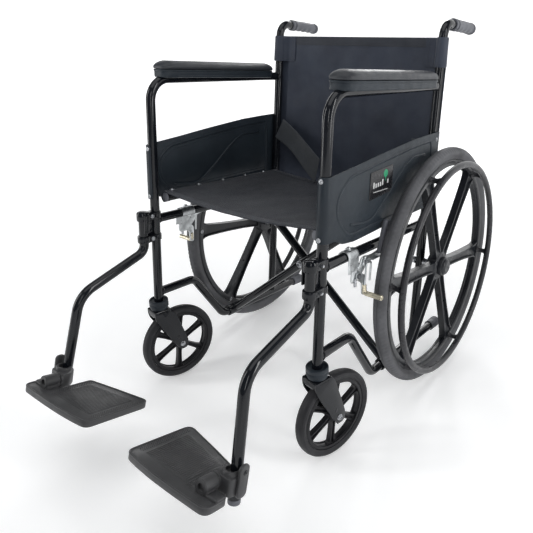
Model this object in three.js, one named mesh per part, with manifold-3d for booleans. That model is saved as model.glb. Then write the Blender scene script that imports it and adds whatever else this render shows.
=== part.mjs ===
// Folding manual wheelchair: two tubular side frames joined by a folding cross brace.
// Millimetres, +Z up, the chair faces -Y and the sitter's left hand is at +X.
// Most pieces are built in the side frame's own axes, with the front post's centre line at y = 0,
// and that whole frame then leans back by RAKE so that the rear wheels and casters share one floor.
import * as THREE from "three";
import { mergeVertices } from "three/addons/utils/BufferGeometryUtils.js";
import Module from "manifold-3d";

const wasm = await Module();
wasm.setup();

// ---------------------------------------------------------------- driving dimensions

const RAKE = THREE.MathUtils.degToRad(5.6);
const GAP = 0.4; // clearance between neighbouring pieces
const TUBE_R = 11;
const TUBE_SIDES = 12;

// side frame
const FRAME_X = 251; // centre plane of a side frame
const FOOT_Z = 187; // lower end of the front post
const ARM_FRONT_Z = 742;
const ARM_REAR_Z = 749;
const ARM_BEND_R = 52;
const UPPER_RAIL_Z = 409;
const LOWER_RAIL_Z = 216;
const BASE_RAIL_Z = 76;
const BASE_RAIL_END_Y = 590;
const CANE_Y = 449.5; // back cane at axle height
const CANE_LEAN = 0.023;
const CANE_TOP_Z = 894;
const CANE_BEND_R = 32;
const GRIP_START_Y = 508;
const GRIP_END_Y = 632;
const GRIP_R = 15;

// cross brace and seat
const SEAT_RAIL_X = 226;
const SEAT_RAIL_Z = 466;
const SEAT_RAIL_START_Y = 13.5;
const SEAT_RAIL_END_Y = 425;
const BRACE_FRONT_Y = 270;
const BRACE_REAR_Y = 294;
const SLEEVE_R = 15;
const BACK_BOTTOM_Z = 455;
const BACK_TOP_Z = 860;
const CLOTH = 4;

// wheels
const AXLE_Y = CANE_Y;
const AXLE_Z = 303;
const WHEEL_R = 303;
const WHEEL_X = 299;
const TYRE_W = 32;
const WHEEL_FACETS = 48;
const WHEEL_PHASE = RAKE + Math.PI / WHEEL_FACETS;
const RIM_R = 274;
const RIM_INNER_R = 258;
const HANDRIM_X = 339;
const HANDRIM_R = 265;
const HANDRIM_TUBE_R = 8.5;
const SPOKES = 6;
const SPOKE_PHASE = THREE.MathUtils.degToRad(-5);
const HUB_R = 34;
const AXLE_R = 6;
const CASTER_R = 100.5;
const CASTER_W = 26;
const CASTER_FACETS = 36;
const CASTER_TRAIL = 42.5;
const CASTER_SWIVEL = THREE.MathUtils.degToRad(12);
const FORK_IN = 18; // wheel plane to the inner face of a fork leg

// legrests
const HANGER_Y = -36; // the hanger's upright and swing axis
const HANGER_TOP_Z = 426;
const HANGER_BENDS = [26, 60];
const PLATE_IN_X = 64;
const PLATE_OUT_X = 283;
const PLATE_FRONT_Y = -337;
const PLATE_FRONT_Z = 102;
const PLATE_T = 16;
const PLATE_TILT = 0.2; // toes up
const PLATE_AXIS_X = 245;
const PLATE_AXIS_UP = 11; // flip axis above the plate's top face
const PIN_R = 6;

// ---------------------------------------------------------------- materials

function finish(color, roughness, metalness) {
  return new THREE.MeshStandardMaterial({ color, roughness, metalness });
}

const PAINT = finish(0x0b0c0f, 0.25, 0.2);
const PLASTIC = finish(0x1c1d20, 0.6, 0);
const RUBBER = finish(0x1a1a1b, 0.85, 0);
const VINYL = finish(0x26282c, 0.5, 0);
const CLOTH_BLACK = finish(0x1c1f26, 0.9, 0);
const ZINC = finish(0xb9bcb8, 0.35, 0.9);

// ---------------------------------------------------------------- solids and placing

const AXES = { x: [1, 0, 0], y: [0, 1, 0], z: [0, 0, 1] };
const vec = (x, y, z) => new THREE.Vector3(x, y, z);

// A closed geometry as a manifold solid.
function solid(geometry) {
  const bare = new THREE.BufferGeometry();
  bare.setAttribute("position", geometry.getAttribute("position"));
  if (geometry.index) bare.setIndex(geometry.index);
  const merged = mergeVertices(bare, 1e-3);
  const faces = [];
  for (let i = 0; i < merged.index.count; i += 3) {
    const [a, b, c] = [0, 1, 2].map((k) => merged.index.getX(i + k));
    if (a !== b && b !== c && c !== a) faces.push(a, b, c);
  }
  const vertProperties = new Float32Array(merged.attributes.position.array);
  return new wasm.Manifold(new wasm.Mesh({ numProp: 3, vertProperties, triVerts: new Uint32Array(faces) }));
}

function geometryOf(made) {
  const mesh = made.getMesh();
  const geometry = new THREE.BufferGeometry();
  geometry.setAttribute("position", new THREE.BufferAttribute(mesh.vertProperties, 3));
  geometry.setIndex(new THREE.BufferAttribute(mesh.triVerts, 1));
  geometry.computeVertexNormals();
  return geometry;
}

const join = (...pieces) => pieces.reduce((whole, piece) => whole.add(piece));
const cut = (body, ...tools) => tools.reduce((left, tool) => left.subtract(tool), body);

// A box between two corners.
function box(low, high) {
  const size = high.map((v, i) => v - low[i]);
  const geometry = new THREE.BoxGeometry(...size);
  return solid(geometry.translate(...low.map((v, i) => v + size[i] / 2)));
}

// A solid of revolution about a line along x through (y, z). The profile lists [radius, x] from
// low x to high x.
function turned(profile, y, z, segments, phase = 0) {
  const points = profile.map(([r, x]) => new THREE.Vector2(r, x));
  const geometry = new THREE.LatheGeometry(points, segments).rotateZ(-Math.PI / 2).rotateX(phase);
  return solid(geometry.translate(0, y, z));
}

// A closed ring about the same line: the profile is a loop of [radius, x].
function ring(profile, y, z, segments, phase = 0) {
  return turned([...profile, profile[0]], y, z, segments, phase);
}

// A cylinder from one point to another.
function rod(from, to, radius, sides = TUBE_SIDES) {
  const along = to.clone().sub(from);
  const geometry = new THREE.CylinderGeometry(radius, radius, along.length(), sides);
  geometry.applyQuaternion(new THREE.Quaternion().setFromUnitVectors(vec(0, 1, 0), along.normalize()));
  return solid(geometry.translate(...from.clone().add(to).divideScalar(2)));
}

// An outline of [y, z] points with optional rounded corners [y, z, radius], extruded from x0 to x1.
function panel(points, x0, x1) {
  const geometry = extruded(points, x1 - x0);
  const basis = new THREE.Matrix4().makeBasis(vec(...AXES.y), vec(...AXES.z), vec(...AXES.x));
  return solid(geometry.applyMatrix4(basis).translate(x0, 0, 0));
}

// The same outline in [x, y], extruded from z0 to z1.
function slab(points, z0, z1) {
  return solid(extruded(points, z1 - z0).translate(0, 0, z0));
}

function extruded(points, depth) {
  return new THREE.ExtrudeGeometry(rounded(points), { depth, bevelEnabled: false, curveSegments: 5 });
}

function rounded(points) {
  const shape = new THREE.Shape();
  points.forEach(([u, v, radius = 0], i) => {
    const here = new THREE.Vector2(u, v);
    const before = new THREE.Vector2(...points.at(i - 1).slice(0, 2));
    const after = new THREE.Vector2(...points[(i + 1) % points.length].slice(0, 2));
    const enter = here.clone().add(before.sub(here).setLength(radius));
    const leave = here.clone().add(after.sub(here).setLength(radius));
    if (i === 0) shape.moveTo(enter.x, enter.y);
    else shape.lineTo(enter.x, enter.y);
    if (radius) shape.quadraticCurveTo(u, v, leave.x, leave.y);
  });
  shape.closePath();
  return shape;
}

// A tube's centre line: straight runs with round bends, sampled only where it bends.
class BentPath extends THREE.Curve {
  constructor(corners, bendRadii, bendSteps = 5) {
    super();
    this.knots = [corners[0]];
    for (let i = 1; i < corners.length - 1; i++) {
      const radius = bendRadii[i - 1] ?? bendRadii[0];
      this.addBend(corners[i - 1], corners[i], corners[i + 1], radius, bendSteps);
    }
    this.knots.push(corners.at(-1));
  }

  addBend(before, corner, after, radius, steps) {
    const back = before.clone().sub(corner).normalize();
    const ahead = after.clone().sub(corner).normalize();
    const half = back.angleTo(ahead) / 2;
    const middle = back.clone().add(ahead).normalize();
    const centre = corner.clone().addScaledVector(middle, radius / Math.sin(half));
    const start = corner.clone().addScaledVector(back, radius / Math.tan(half)).sub(centre);
    const axis = start.clone().cross(middle).normalize();
    const turn = Math.PI - 2 * half;
    for (let k = 0; k <= steps; k++) {
      const spoke = start.clone().applyAxisAngle(axis, -(turn * k) / steps);
      this.knots.push(centre.clone().add(spoke));
    }
  }

  getPoint(t) {
    const place = t * (this.knots.length - 1);
    const i = Math.min(Math.floor(place + 1e-6), this.knots.length - 2);
    return this.knots[i].clone().lerp(this.knots[i + 1], place - i);
  }

  getPointAt(u) {
    return this.getPoint(u);
  }

  getTangentAt(u) {
    const i = Math.round(u * (this.knots.length - 1));
    const before = this.knots[Math.max(i - 1, 0)];
    const here = this.knots[i];
    const after = this.knots[Math.min(i + 1, this.knots.length - 1)];
    const into = here.clone().sub(before).normalize();
    return into.add(after.clone().sub(here).normalize()).normalize();
  }
}

function bentTube(corners, bendRadii, radius = TUBE_R, bendSteps = 5) {
  const path = new BentPath(corners, bendRadii, bendSteps);
  const section = new THREE.Shape();
  for (let k = 0; k < TUBE_SIDES; k++) {
    const angle = (2 * Math.PI * k) / TUBE_SIDES;
    const [u, v] = [radius * Math.cos(angle), radius * Math.sin(angle)];
    if (k === 0) section.moveTo(u, v);
    else section.lineTo(u, v);
  }
  section.closePath();
  const steps = path.knots.length - 1;
  return solid(new THREE.ExtrudeGeometry(section, { steps, extrudePath: path, bevelEnabled: false }));
}

// ---------------------------------------------------------------- side frame
// drawn for the left side and mirrored for the right

const caneY = (z) => CANE_Y + CANE_LEAN * (z - AXLE_Z);
const onCane = (z) => vec(FRAME_X, caneY(z), z);
const armZ = (y) => ARM_FRONT_Z + ((ARM_REAR_Z - ARM_FRONT_Z) * y) / CANE_Y;
const caneClear = () => rod(onCane(BASE_RAIL_Z - 40), onCane(CANE_TOP_Z), TUBE_R + GAP);
const postClear = () => rod(vec(FRAME_X, 0, FOOT_Z - 20), vec(FRAME_X, 0, 700), TUBE_R + GAP);

// front post, bent back over the sitter's arm to the cane
function armrestPost() {
  const path = [vec(FRAME_X, 0, FOOT_Z), vec(FRAME_X, 0, ARM_FRONT_Z), vec(FRAME_X, CANE_Y, ARM_REAR_Z)];
  return cut(bentTube(path, [ARM_BEND_R], TUBE_R, 7), caneClear());
}

// back cane with its push handle bend, drilled for the rear axle
function backCane() {
  const top = onCane(CANE_TOP_Z);
  const path = [onCane(BASE_RAIL_Z), top, vec(FRAME_X, GRIP_END_Y - 4, CANE_TOP_Z - 4)];
  const axleHole = rod(vec(200, AXLE_Y, AXLE_Z), vec(300, AXLE_Y, AXLE_Z), AXLE_R + GAP);
  const rail = rod(vec(FRAME_X, 300, BASE_RAIL_Z), vec(FRAME_X, 600, BASE_RAIL_Z), TUBE_R + GAP);
  return cut(bentTube(path, [CANE_BEND_R]), axleHole, rail);
}

function pushGrip() {
  const from = vec(FRAME_X, GRIP_START_Y, CANE_TOP_Z - 1);
  const to = vec(FRAME_X, GRIP_END_Y, CANE_TOP_Z - 4);
  const core = bentTube([onCane(BASE_RAIL_Z), onCane(CANE_TOP_Z), to], [CANE_BEND_R], TUBE_R + GAP);
  return cut(rod(from, to, GRIP_R), core);
}

function upperRail() {
  const rail = rod(vec(FRAME_X, 0, UPPER_RAIL_Z), vec(FRAME_X, CANE_Y, UPPER_RAIL_Z), TUBE_R);
  return cut(rail, postClear(), caneClear());
}

// lower rail: back from the front post, down to near the floor, and on past the cane as the tipping lever
function lowerRail() {
  const path = [
    vec(FRAME_X, 0, LOWER_RAIL_Z),
    vec(FRAME_X, 118, LOWER_RAIL_Z),
    vec(FRAME_X, 226, BASE_RAIL_Z),
    vec(FRAME_X, BASE_RAIL_END_Y, BASE_RAIL_Z),
  ];
  return cut(bentTube(path, [34]), postClear());
}

function tippingTip() {
  const along = (y0, y1, r) => rod(vec(FRAME_X, y0, BASE_RAIL_Z), vec(FRAME_X, y1, BASE_RAIL_Z), r);
  return cut(along(552, 597, 14), along(540, BASE_RAIL_END_Y + GAP, TUBE_R + GAP));
}

// armrest: a trough that saddles the tube, and a crowned pad on it
const PAD_START_Y = 22;
const PAD_END_Y = 412;
const PAD_HALF_W = 28.5;
const BASE_BOTTOM = 3; // above the tube's centre line
const BASE_TOP = 22;

function armrestOutline(inset) {
  const [x0, x1] = [FRAME_X - PAD_HALF_W + inset, FRAME_X + PAD_HALF_W - inset];
  const [y0, y1] = [PAD_START_Y + inset, PAD_END_Y - inset];
  const r = Math.max(18 - inset, 4);
  return [[x0, y0, r], [x1, y0, r], [x1, y1, r], [x0, y1, r]];
}

function armrestBase() {
  const tube = bentTube(
    [vec(FRAME_X, 0, FOOT_Z), vec(FRAME_X, 0, ARM_FRONT_Z), vec(FRAME_X, CANE_Y + 40, armZ(CANE_Y + 40))],
    [ARM_BEND_R],
    TUBE_R + GAP,
    7,
  );
  const low = armZ(PAD_START_Y) + BASE_BOTTOM;
  return cut(slab(armrestOutline(2), low, low + BASE_TOP - BASE_BOTTOM), tube);
}

function armrestPad() {
  const low = armZ(PAD_START_Y) + BASE_TOP + GAP;
  const [edge, height] = [12, 19];
  const depth = 2 * (height - edge);
  const bevel = { bevelSize: edge, bevelThickness: edge, bevelSegments: 3, curveSegments: 4 };
  const cushion = new THREE.ExtrudeGeometry(rounded(armrestOutline(edge)), { depth, ...bevel });
  const whole = solid(cushion.translate(0, 0, low - depth / 2));
  return cut(whole, box([0, 0, low - 100], [400, 500, low]));
}

// moulded side panel: outside the tubes, with its front edge wrapped round the front post
const PANEL_IN_X = FRAME_X + TUBE_R + GAP;
const PANEL_T = 4;

function sidePanel() {
  const outline = [
    [-30, 461], [20, 461, 8], [52, 444, 14], [190, 449, 20], [461, 500, 6],
    [461, 641, 6], [280, 626, 40], [60, 597, 20], [20, 590, 8], [-30, 589],
  ];
  const outer = TUBE_R + GAP + PANEL_T;
  const plan = new THREE.Shape();
  plan.moveTo(FRAME_X, 0);
  plan.absarc(FRAME_X, 0, outer, -0.75 * Math.PI, 0);
  plan.lineTo(FRAME_X + outer, 470);
  plan.lineTo(PANEL_IN_X, 470);
  plan.lineTo(PANEL_IN_X, 0);
  plan.lineTo(FRAME_X, 0);
  const wrap = new THREE.ExtrudeGeometry(plan, { depth: 240, bevelEnabled: false, curveSegments: 10 });
  const sheet = solid(wrap.translate(0, 0, 430));
  return cut(sheet, postClear()).intersect(panel(outline, 200, 300));
}

// ---------------------------------------------------------------- cross brace, seat and back

const BRACE_SLOPE = (SEAT_RAIL_Z - BASE_RAIL_Z) / (FRAME_X + SEAT_RAIL_X);
const BRACE_CENTRE_Z = BASE_RAIL_Z + FRAME_X * BRACE_SLOPE;

// One diagonal of the brace. side is the side of its foot: +1 stands on the left rail and carries
// the right seat rail.
function brace(side, y) {
  const foot = vec(side * FRAME_X, y, BASE_RAIL_Z);
  const head = vec(-side * SEAT_RAIL_X, y, SEAT_RAIL_Z);
  const lengthwise = (x, z, r, reach) => rod(vec(x, y - reach, z), vec(x, y + reach, z), r, 16);
  const tube = rod(foot, head, TUBE_R);
  const sleeve = lengthwise(foot.x, foot.z, SLEEVE_R, 24);
  const railHole = lengthwise(foot.x, foot.z, TUBE_R + 2 * GAP, 80);
  const seatRail = lengthwise(head.x, head.z, TUBE_R + 2 * GAP, 80);
  const boltHole = lengthwise(0, BRACE_CENTRE_Z, 4 + GAP, 80);
  return cut(join(tube, sleeve), railHole, seatRail, boltHole);
}

function braceBolt() {
  const z = BRACE_CENTRE_Z;
  const at = (y0, y1, r) => rod(vec(0, y0, z), vec(0, y1, z), r, 12);
  const [front, rear] = [BRACE_FRONT_Y - TUBE_R, BRACE_REAR_Y + TUBE_R];
  return join(at(front - 5, front - GAP, 9), at(front - 2, rear + 2, 4), at(rear + GAP, rear + 6, 8));
}

function seatRail() {
  const z = SEAT_RAIL_Z;
  return rod(vec(SEAT_RAIL_X, SEAT_RAIL_START_Y, z), vec(SEAT_RAIL_X, SEAT_RAIL_END_Y, z), TUBE_R);
}

// half of the seat sling, from the chair's centre line to its seat rail
function seatSling() {
  const low = SEAT_RAIL_Z + TUBE_R + GAP;
  return box([GAP, SEAT_RAIL_START_Y + 2, low], [SEAT_RAIL_X + 10, SEAT_RAIL_END_Y, low + CLOTH]);
}

// half of the back upholstery, behind the cane
function backHalf() {
  const behind = TUBE_R + GAP;
  const outline = [BACK_BOTTOM_Z, BACK_TOP_Z].flatMap((z, i) => {
    const edge = [[caneY(z) + behind, z], [caneY(z) + behind + CLOTH, z]];
    return i ? edge.reverse() : edge;
  });
  return panel(outline, GAP, FRAME_X + TUBE_R);
}

// A strap of the lap belt, as a flat band that follows its points.
function strap(points) {
  const bands = points.slice(1).map((to, i) => {
    const along = to.clone().sub(points[i]);
    const geometry = new THREE.BoxGeometry(along.length() + 2, 40, 3);
    const ahead = along.normalize();
    const across = vec(...AXES.z).cross(ahead).normalize();
    geometry.applyMatrix4(new THREE.Matrix4().makeBasis(ahead, across, ahead.clone().cross(across)));
    return solid(geometry.translate(...points[i].clone().add(to).divideScalar(2)));
  });
  return join(...bands);
}

// ---------------------------------------------------------------- rear wheels

// The tread is faceted, and turned so that one facet lies flat on the floor.
function rearTyre() {
  const [half, flank] = [TYRE_W / 2, TYRE_W / 2 - 4];
  const tread = WHEEL_R / Math.cos(Math.PI / WHEEL_FACETS);
  const profile = [
    [RIM_R, flank - 3], [RIM_R, 3 - flank], [RIM_R + 7, -flank], [WHEEL_R - 13, -half],
    [WHEEL_R - 4, 6 - half], [tread, -4], [tread, 4], [WHEEL_R - 4, half - 6],
    [WHEEL_R - 13, half], [RIM_R + 7, flank],
  ];
  return ring(profile.map(([r, x]) => [r, x + WHEEL_X]), AXLE_Y, AXLE_Z, WHEEL_FACETS, WHEEL_PHASE);
}

// moulded wheel: rim, six spokes and a hub bored for the axle
function rearWheel() {
  const [low, high] = [WHEEL_X - 11, WHEEL_X + 11];
  const outer = RIM_R - GAP;
  const band = [[RIM_INNER_R, low], [outer, low], [outer, high], [RIM_INNER_R, high]];
  const rim = ring(band, AXLE_Y, AXLE_Z, WHEEL_FACETS, WHEEL_PHASE);
  const nave = [[0, low - 5], [HUB_R, low - 5], [HUB_R, high + 6], [24, high + 12], [0, high + 12]];
  const hub = turned(nave, AXLE_Y, AXLE_Z, 24);
  const angles = Array.from({ length: SPOKES }, (_, k) => SPOKE_PHASE + (k * 2 * Math.PI) / SPOKES);
  const spokes = angles.map((angle) => spoke(angle, low + 2, high - 2));
  const bore = rod(vec(200, AXLE_Y, AXLE_Z), vec(400, AXLE_Y, AXLE_Z), AXLE_R + GAP);
  return cut(join(rim, hub, ...spokes), bore);
}

function spoke(angle, x0, x1) {
  const reach = RIM_INNER_R + 4;
  const outline = [[15, -19], [reach, -13], [reach, 13], [15, 19]].map(([r, side]) => [
    AXLE_Y + r * Math.cos(angle) - side * Math.sin(angle),
    AXLE_Z + r * Math.sin(angle) + side * Math.cos(angle),
  ]);
  return panel(outline, x0, x1);
}

// handrim with a stand-off at each spoke
function handrim() {
  const loop = Array.from({ length: 8 }, (_, k) => {
    const angle = -(k * Math.PI) / 4;
    return [HANDRIM_R + HANDRIM_TUBE_R * Math.cos(angle), HANDRIM_X + HANDRIM_TUBE_R * Math.sin(angle)];
  });
  const hoop = ring(loop.reverse(), AXLE_Y, AXLE_Z, 48);
  const standoffs = Array.from({ length: SPOKES }, (_, k) => {
    const angle = SPOKE_PHASE + (k * 2 * Math.PI) / SPOKES;
    const [y, z] = [AXLE_Y + HANDRIM_R * Math.cos(angle), AXLE_Z + HANDRIM_R * Math.sin(angle)];
    return rod(vec(WHEEL_X + 11 + GAP, y, z), vec(HANDRIM_X, y, z), 6, 8);
  });
  return join(hoop, ...standoffs);
}

function rearAxle() {
  const inside = FRAME_X - TUBE_R;
  const outside = FRAME_X + TUBE_R;
  const hubEnd = WHEEL_X + 23;
  const profile = [
    [0, inside - 7], [10, inside - 7], [10, inside - GAP], [AXLE_R, inside - GAP], [AXLE_R, outside + GAP],
    [TUBE_R, outside + GAP], [TUBE_R, WHEEL_X - 16 - GAP], [AXLE_R, WHEEL_X - 16 - GAP],
    [AXLE_R, hubEnd + GAP], [10, hubEnd + GAP], [10, hubEnd + 7], [0, hubEnd + 7],
  ];
  return turned(profile, AXLE_Y, AXLE_Z, 12);
}

// ---------------------------------------------------------------- parking brake

const BRAKE_X = 268; // outer face of the brake's base plate
const LEVER_AXIS = [132, 392];
const SHOE_AXIS = [106, 366];
const SHOE_GAP = 8; // from the shoe to the tyre with the brake off
const SHOE_R = 6;
const SHOE_Z = 320;
const SHOE_Y = AXLE_Y - Math.sqrt((WHEEL_R + SHOE_R + SHOE_GAP) ** 2 - (SHOE_Z - AXLE_Z) ** 2);

function brakeClamp() {
  const collar = rod(vec(FRAME_X, 78, UPPER_RAIL_Z), vec(FRAME_X, 112, UPPER_RAIL_Z), 15.5);
  const ears = box([FRAME_X - 8, 84, UPPER_RAIL_Z + 10], [FRAME_X + 17, 106, UPPER_RAIL_Z + 20]);
  const outline = [
    [80, 424, 5], [80, 372, 5], [96, 350, 5], [118, 350, 8], [150, 384, 8], [150, 404, 8], [120, 424, 5],
  ];
  const base = panel(outline, BRAKE_X - 4, BRAKE_X);
  const tube = rod(vec(FRAME_X, 0, UPPER_RAIL_Z), vec(FRAME_X, 200, UPPER_RAIL_Z), TUBE_R + GAP);
  const pivot = ([y, z]) => rod(vec(BRAKE_X - 2, y, z), vec(BRAKE_X + 9, y, z), 4, 10);
  return join(cut(join(collar, ears, base), tube), pivot(LEVER_AXIS), pivot(SHOE_AXIS));
}

const pivotHole = ([y, z]) => rod(vec(200, y, z), vec(320, y, z), 4 + GAP, 10);

function brakeLever() {
  const [y, z] = LEVER_AXIS;
  const arm = [
    [y - 14, z - 14, 6], [y + 14, z - 14, 8], [y + 60, z + 16, 4], [y + 58, z + 32, 4], [y - 4, z + 16, 6],
  ];
  const bar = panel(arm, BRAKE_X + GAP, BRAKE_X + 4);
  const sleeve = [[y + 44, z + 10, 7], [y + 62, z + 5, 7], [y + 84, z + 76, 8], [y + 66, z + 81, 8]];
  const grip = panel(sleeve, BRAKE_X, BRAKE_X + 13.5);
  return cut(join(bar, grip), pivotHole(LEVER_AXIS));
}

// bell crank and round bar that presses on the tyre
function brakeShoe() {
  const [y, z] = SHOE_AXIS;
  const arm = [
    [y - 12, z + 8, 5], [y - 10, z - 14, 5], [SHOE_Y - 7, SHOE_Z - 7, 5], [SHOE_Y + 7, SHOE_Z - 2, 5],
    [y + 12, z + 2, 5],
  ];
  const bar = panel(arm, BRAKE_X + GAP, BRAKE_X + 4);
  const [shoeIn, shoeOut] = [BRAKE_X + 1, WHEEL_X + TYRE_W / 2 + 3].map((x) => vec(x, SHOE_Y, SHOE_Z));
  const shoe = rod(shoeIn, shoeOut, SHOE_R, 10);
  return cut(join(bar, shoe), pivotHole(SHOE_AXIS));
}

// ---------------------------------------------------------------- legrest

const hangerPath = () => [
  vec(FRAME_X, HANGER_Y, HANGER_TOP_Z),
  vec(FRAME_X, HANGER_Y, 334),
  vec(FRAME_X, -213, 274),
  vec(FRAME_X + 17, -260, 52),
];

function hanger() {
  return bentTube(hangerPath(), HANGER_BENDS);
}

const hangerClear = () => rod(vec(FRAME_X, HANGER_Y, 300), vec(FRAME_X, HANGER_Y, 500), TUBE_R + GAP);

// two lugs on the front post that hold the hanger's upright, with the release lever
function hangerBracket() {
  const upright = (z0, z1, r) => rod(vec(FRAME_X, HANGER_Y, z0), vec(FRAME_X, HANGER_Y, z1), r, 16);
  const lug = (z0, z1) => {
    const [w, y0] = [13, HANGER_Y - 3];
    const plan = [[FRAME_X - w, y0, 4], [FRAME_X + w, y0, 4], [FRAME_X + w, 2], [FRAME_X - w, 2]];
    return join(slab(plan, z0, z1), upright(z0, z1, 15));
  };
  const spine = box([FRAME_X - 3, HANGER_Y + TUBE_R + 2, 360], [FRAME_X + 3, 0, 424]);
  const release = box([FRAME_X - 16, HANGER_Y - 8, 380], [FRAME_X - 12.5, HANGER_Y + 6, 428]);
  const cap = upright(HANGER_TOP_Z + GAP, HANGER_TOP_Z + 5, 15);
  const body = join(lug(412, 430), lug(357, 373), spine, release);
  return join(cut(body, hangerClear(), postClear()), cap);
}

// Places a solid built flat, with its front edge at y = 0 and its top at z = 0, onto the tilted
// footplate plane.
function onPlatePlane(made) {
  const geometry = geometryOf(made);
  geometry.rotateX(-PLATE_TILT).translate(0, PLATE_FRONT_Y, PLATE_FRONT_Z);
  return solid(geometry);
}

const PIVOT_Y0 = 20;

// a round bar on the flip axis
function pivot(y0, y1, r) {
  return rod(vec(PLATE_AXIS_X, y0, PLATE_AXIS_UP), vec(PLATE_AXIS_X, y1, PLATE_AXIS_UP), r, 16);
}

function footplate() {
  const outline = [
    [PLATE_IN_X, 8, 18], [150, -3, 30], [PLATE_OUT_X, -3, 18], [PLATE_OUT_X, 48, 8], [224, 52, 4],
    [224, 122, 8], [PLATE_IN_X + 2, 163, 20],
  ];
  const board = slab(outline, -PLATE_T, 0);
  const seat = box([PLATE_AXIS_X - 14, PIVOT_Y0, -4], [PLATE_AXIS_X + 14, 50, PLATE_AXIS_UP]);
  return onPlatePlane(cut(join(board, pivot(PIVOT_Y0, 52, 14), seat), pivot(0, 200, PIN_R + GAP)));
}

// block round the hanger tube, with the hinge pin and an upright latch plate on its outer side
function footplateClamp() {
  const block = slab([[231, 54, 4], [282, 54, 6], [282, 96, 8], [231, 96, 8]], -12, 27);
  const latch = panel([[67, -14, 9], [91, -14, 9], [91, 48, 9], [67, 48, 9]], 281, 289);
  const made = onPlatePlane(join(block, latch, pivot(PIVOT_Y0 + 4, 60, PIN_R)));
  return cut(made, bentTube(hangerPath(), HANGER_BENDS, TUBE_R + GAP));
}

// ---------------------------------------------------------------- caster
// in its own axes: x across, y trailing, z up from the floor

function casterTyre() {
  const half = CASTER_W / 2;
  const tread = CASTER_R / Math.cos(Math.PI / CASTER_FACETS);
  const profile = [
    [84, half - 2], [84, 2 - half], [93, -half], [99, 5 - half], [tread, -3], [tread, 3],
    [99, half - 5], [93, half],
  ];
  return ring(profile, CASTER_TRAIL, CASTER_R, CASTER_FACETS, Math.PI / CASTER_FACETS);
}

function casterWheel() {
  const half = CASTER_W / 2 - 3;
  const band = [[74, -half], [84 - GAP, -half], [84 - GAP, half], [74, half]];
  const rim = ring(band, CASTER_TRAIL, CASTER_R, CASTER_FACETS, Math.PI / CASTER_FACETS);
  const hub = turned([[0, -15], [17, -15], [17, 15], [0, 15]], CASTER_TRAIL, CASTER_R, 16);
  const spokes = Array.from({ length: SPOKES }, (_, k) => {
    const angle = (k * 2 * Math.PI) / SPOKES + 0.4;
    const turn = ([r, s]) => [
      CASTER_TRAIL + r * Math.cos(angle) - s * Math.sin(angle),
      CASTER_R + r * Math.sin(angle) + s * Math.cos(angle),
    ];
    return panel([[8, -8], [76, -6], [76, 6], [8, 8]].map(turn), -6, 6);
  });
  const bore = rod(vec(-40, CASTER_TRAIL, CASTER_R), vec(40, CASTER_TRAIL, CASTER_R), 5 + GAP, 12);
  return cut(join(rim, hub, ...spokes), bore);
}

// fork: crown, stem, two legs that rake back to the axle, and the axle itself
function casterFork(postFoot) {
  const crownZ = 2 * CASTER_R + 5;
  const leg = [
    [-22, crownZ + 9, 2], [-25, crownZ - 12, 8], [CASTER_TRAIL - 13, CASTER_R - 10, 10],
    [CASTER_TRAIL + 16, CASTER_R - 18, 10], [CASTER_TRAIL + 18, CASTER_R + 12, 8], [28, crownZ - 8, 8],
    [20, crownZ + 9, 2],
  ];
  const legs = [-1, 1].map((side) => {
    const faces = [side * FORK_IN, side * (FORK_IN + 4)].sort((a, b) => a - b);
    return panel(leg, ...faces);
  });
  const crown = slab([[-22, -22, 6], [22, -22, 6], [22, 20, 6], [-22, 20, 6]], crownZ, crownZ + 9);
  const stem = rod(vec(0, 0, crownZ), vec(0, 0, postFoot), 6);
  const axle = rod(vec(-FORK_IN - 9, CASTER_TRAIL, CASTER_R), vec(FORK_IN + 9, CASTER_TRAIL, CASTER_R), 5);
  return join(crown, stem, axle, ...legs);
}

// cup under the front post that the stem turns in
function casterBushing(postFoot) {
  const crownTop = 2 * CASTER_R + 14;
  const [low, top] = [crownTop + GAP, postFoot + 14];
  const cup = [[0, low], [24, low], [24, top - 7], [18, top], [0, top]];
  const profile = cup.map(([r, z]) => new THREE.Vector2(r, z));
  const bell = solid(new THREE.LatheGeometry(profile, 20).rotateX(Math.PI / 2));
  return cut(bell, rod(vec(0, 0, 0), vec(0, 0, postFoot + 1), 6 + 2 * GAP));
}

// ---------------------------------------------------------------- assembly

const chair = new THREE.Group();
chair.name = "manual_wheelchair";

function mesh(name, made, material) {
  const piece = new THREE.Mesh(geometryOf(made), material);
  piece.name = name;
  return piece;
}

// Height of the frame's own origin above the floor, with the rear wheels standing on it.
const FRAME_RISE = WHEEL_R + AXLE_Y * Math.sin(RAKE) - AXLE_Z * Math.cos(RAKE);

const frame = new THREE.Group();
frame.rotation.x = -RAKE;
frame.position.z = FRAME_RISE;
chair.add(frame);

const SIDE_PIECES = [
  ["armrest_post", armrestPost(), PAINT],
  ["back_cane", backCane(), PAINT],
  ["upper_rail", upperRail(), PAINT],
  ["lower_rail", lowerRail(), PAINT],
  ["tipping_tip", tippingTip(), RUBBER],
  ["push_grip", pushGrip(), RUBBER],
  ["armrest_base", armrestBase(), PLASTIC],
  ["armrest_pad", armrestPad(), VINYL],
  ["side_panel", sidePanel(), PLASTIC],
  ["seat_rail", seatRail(), PAINT],
  ["seat_sling", seatSling(), CLOTH_BLACK],
  ["back_upholstery", backHalf(), CLOTH_BLACK],
  ["rear_wheel", rearWheel(), PLASTIC],
  ["rear_tyre", rearTyre(), RUBBER],
  ["handrim", handrim(), PLASTIC],
  ["rear_axle", rearAxle(), ZINC],
  ["brake_clamp", brakeClamp(), ZINC],
  ["brake_lever", brakeLever(), ZINC],
  ["brake_shoe", brakeShoe(), ZINC],
  ["hanger", hanger(), PAINT],
  ["hanger_bracket", hangerBracket(), PAINT],
  ["footplate", footplate(), PLASTIC],
  ["footplate_clamp", footplateClamp(), PLASTIC],
];

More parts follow.
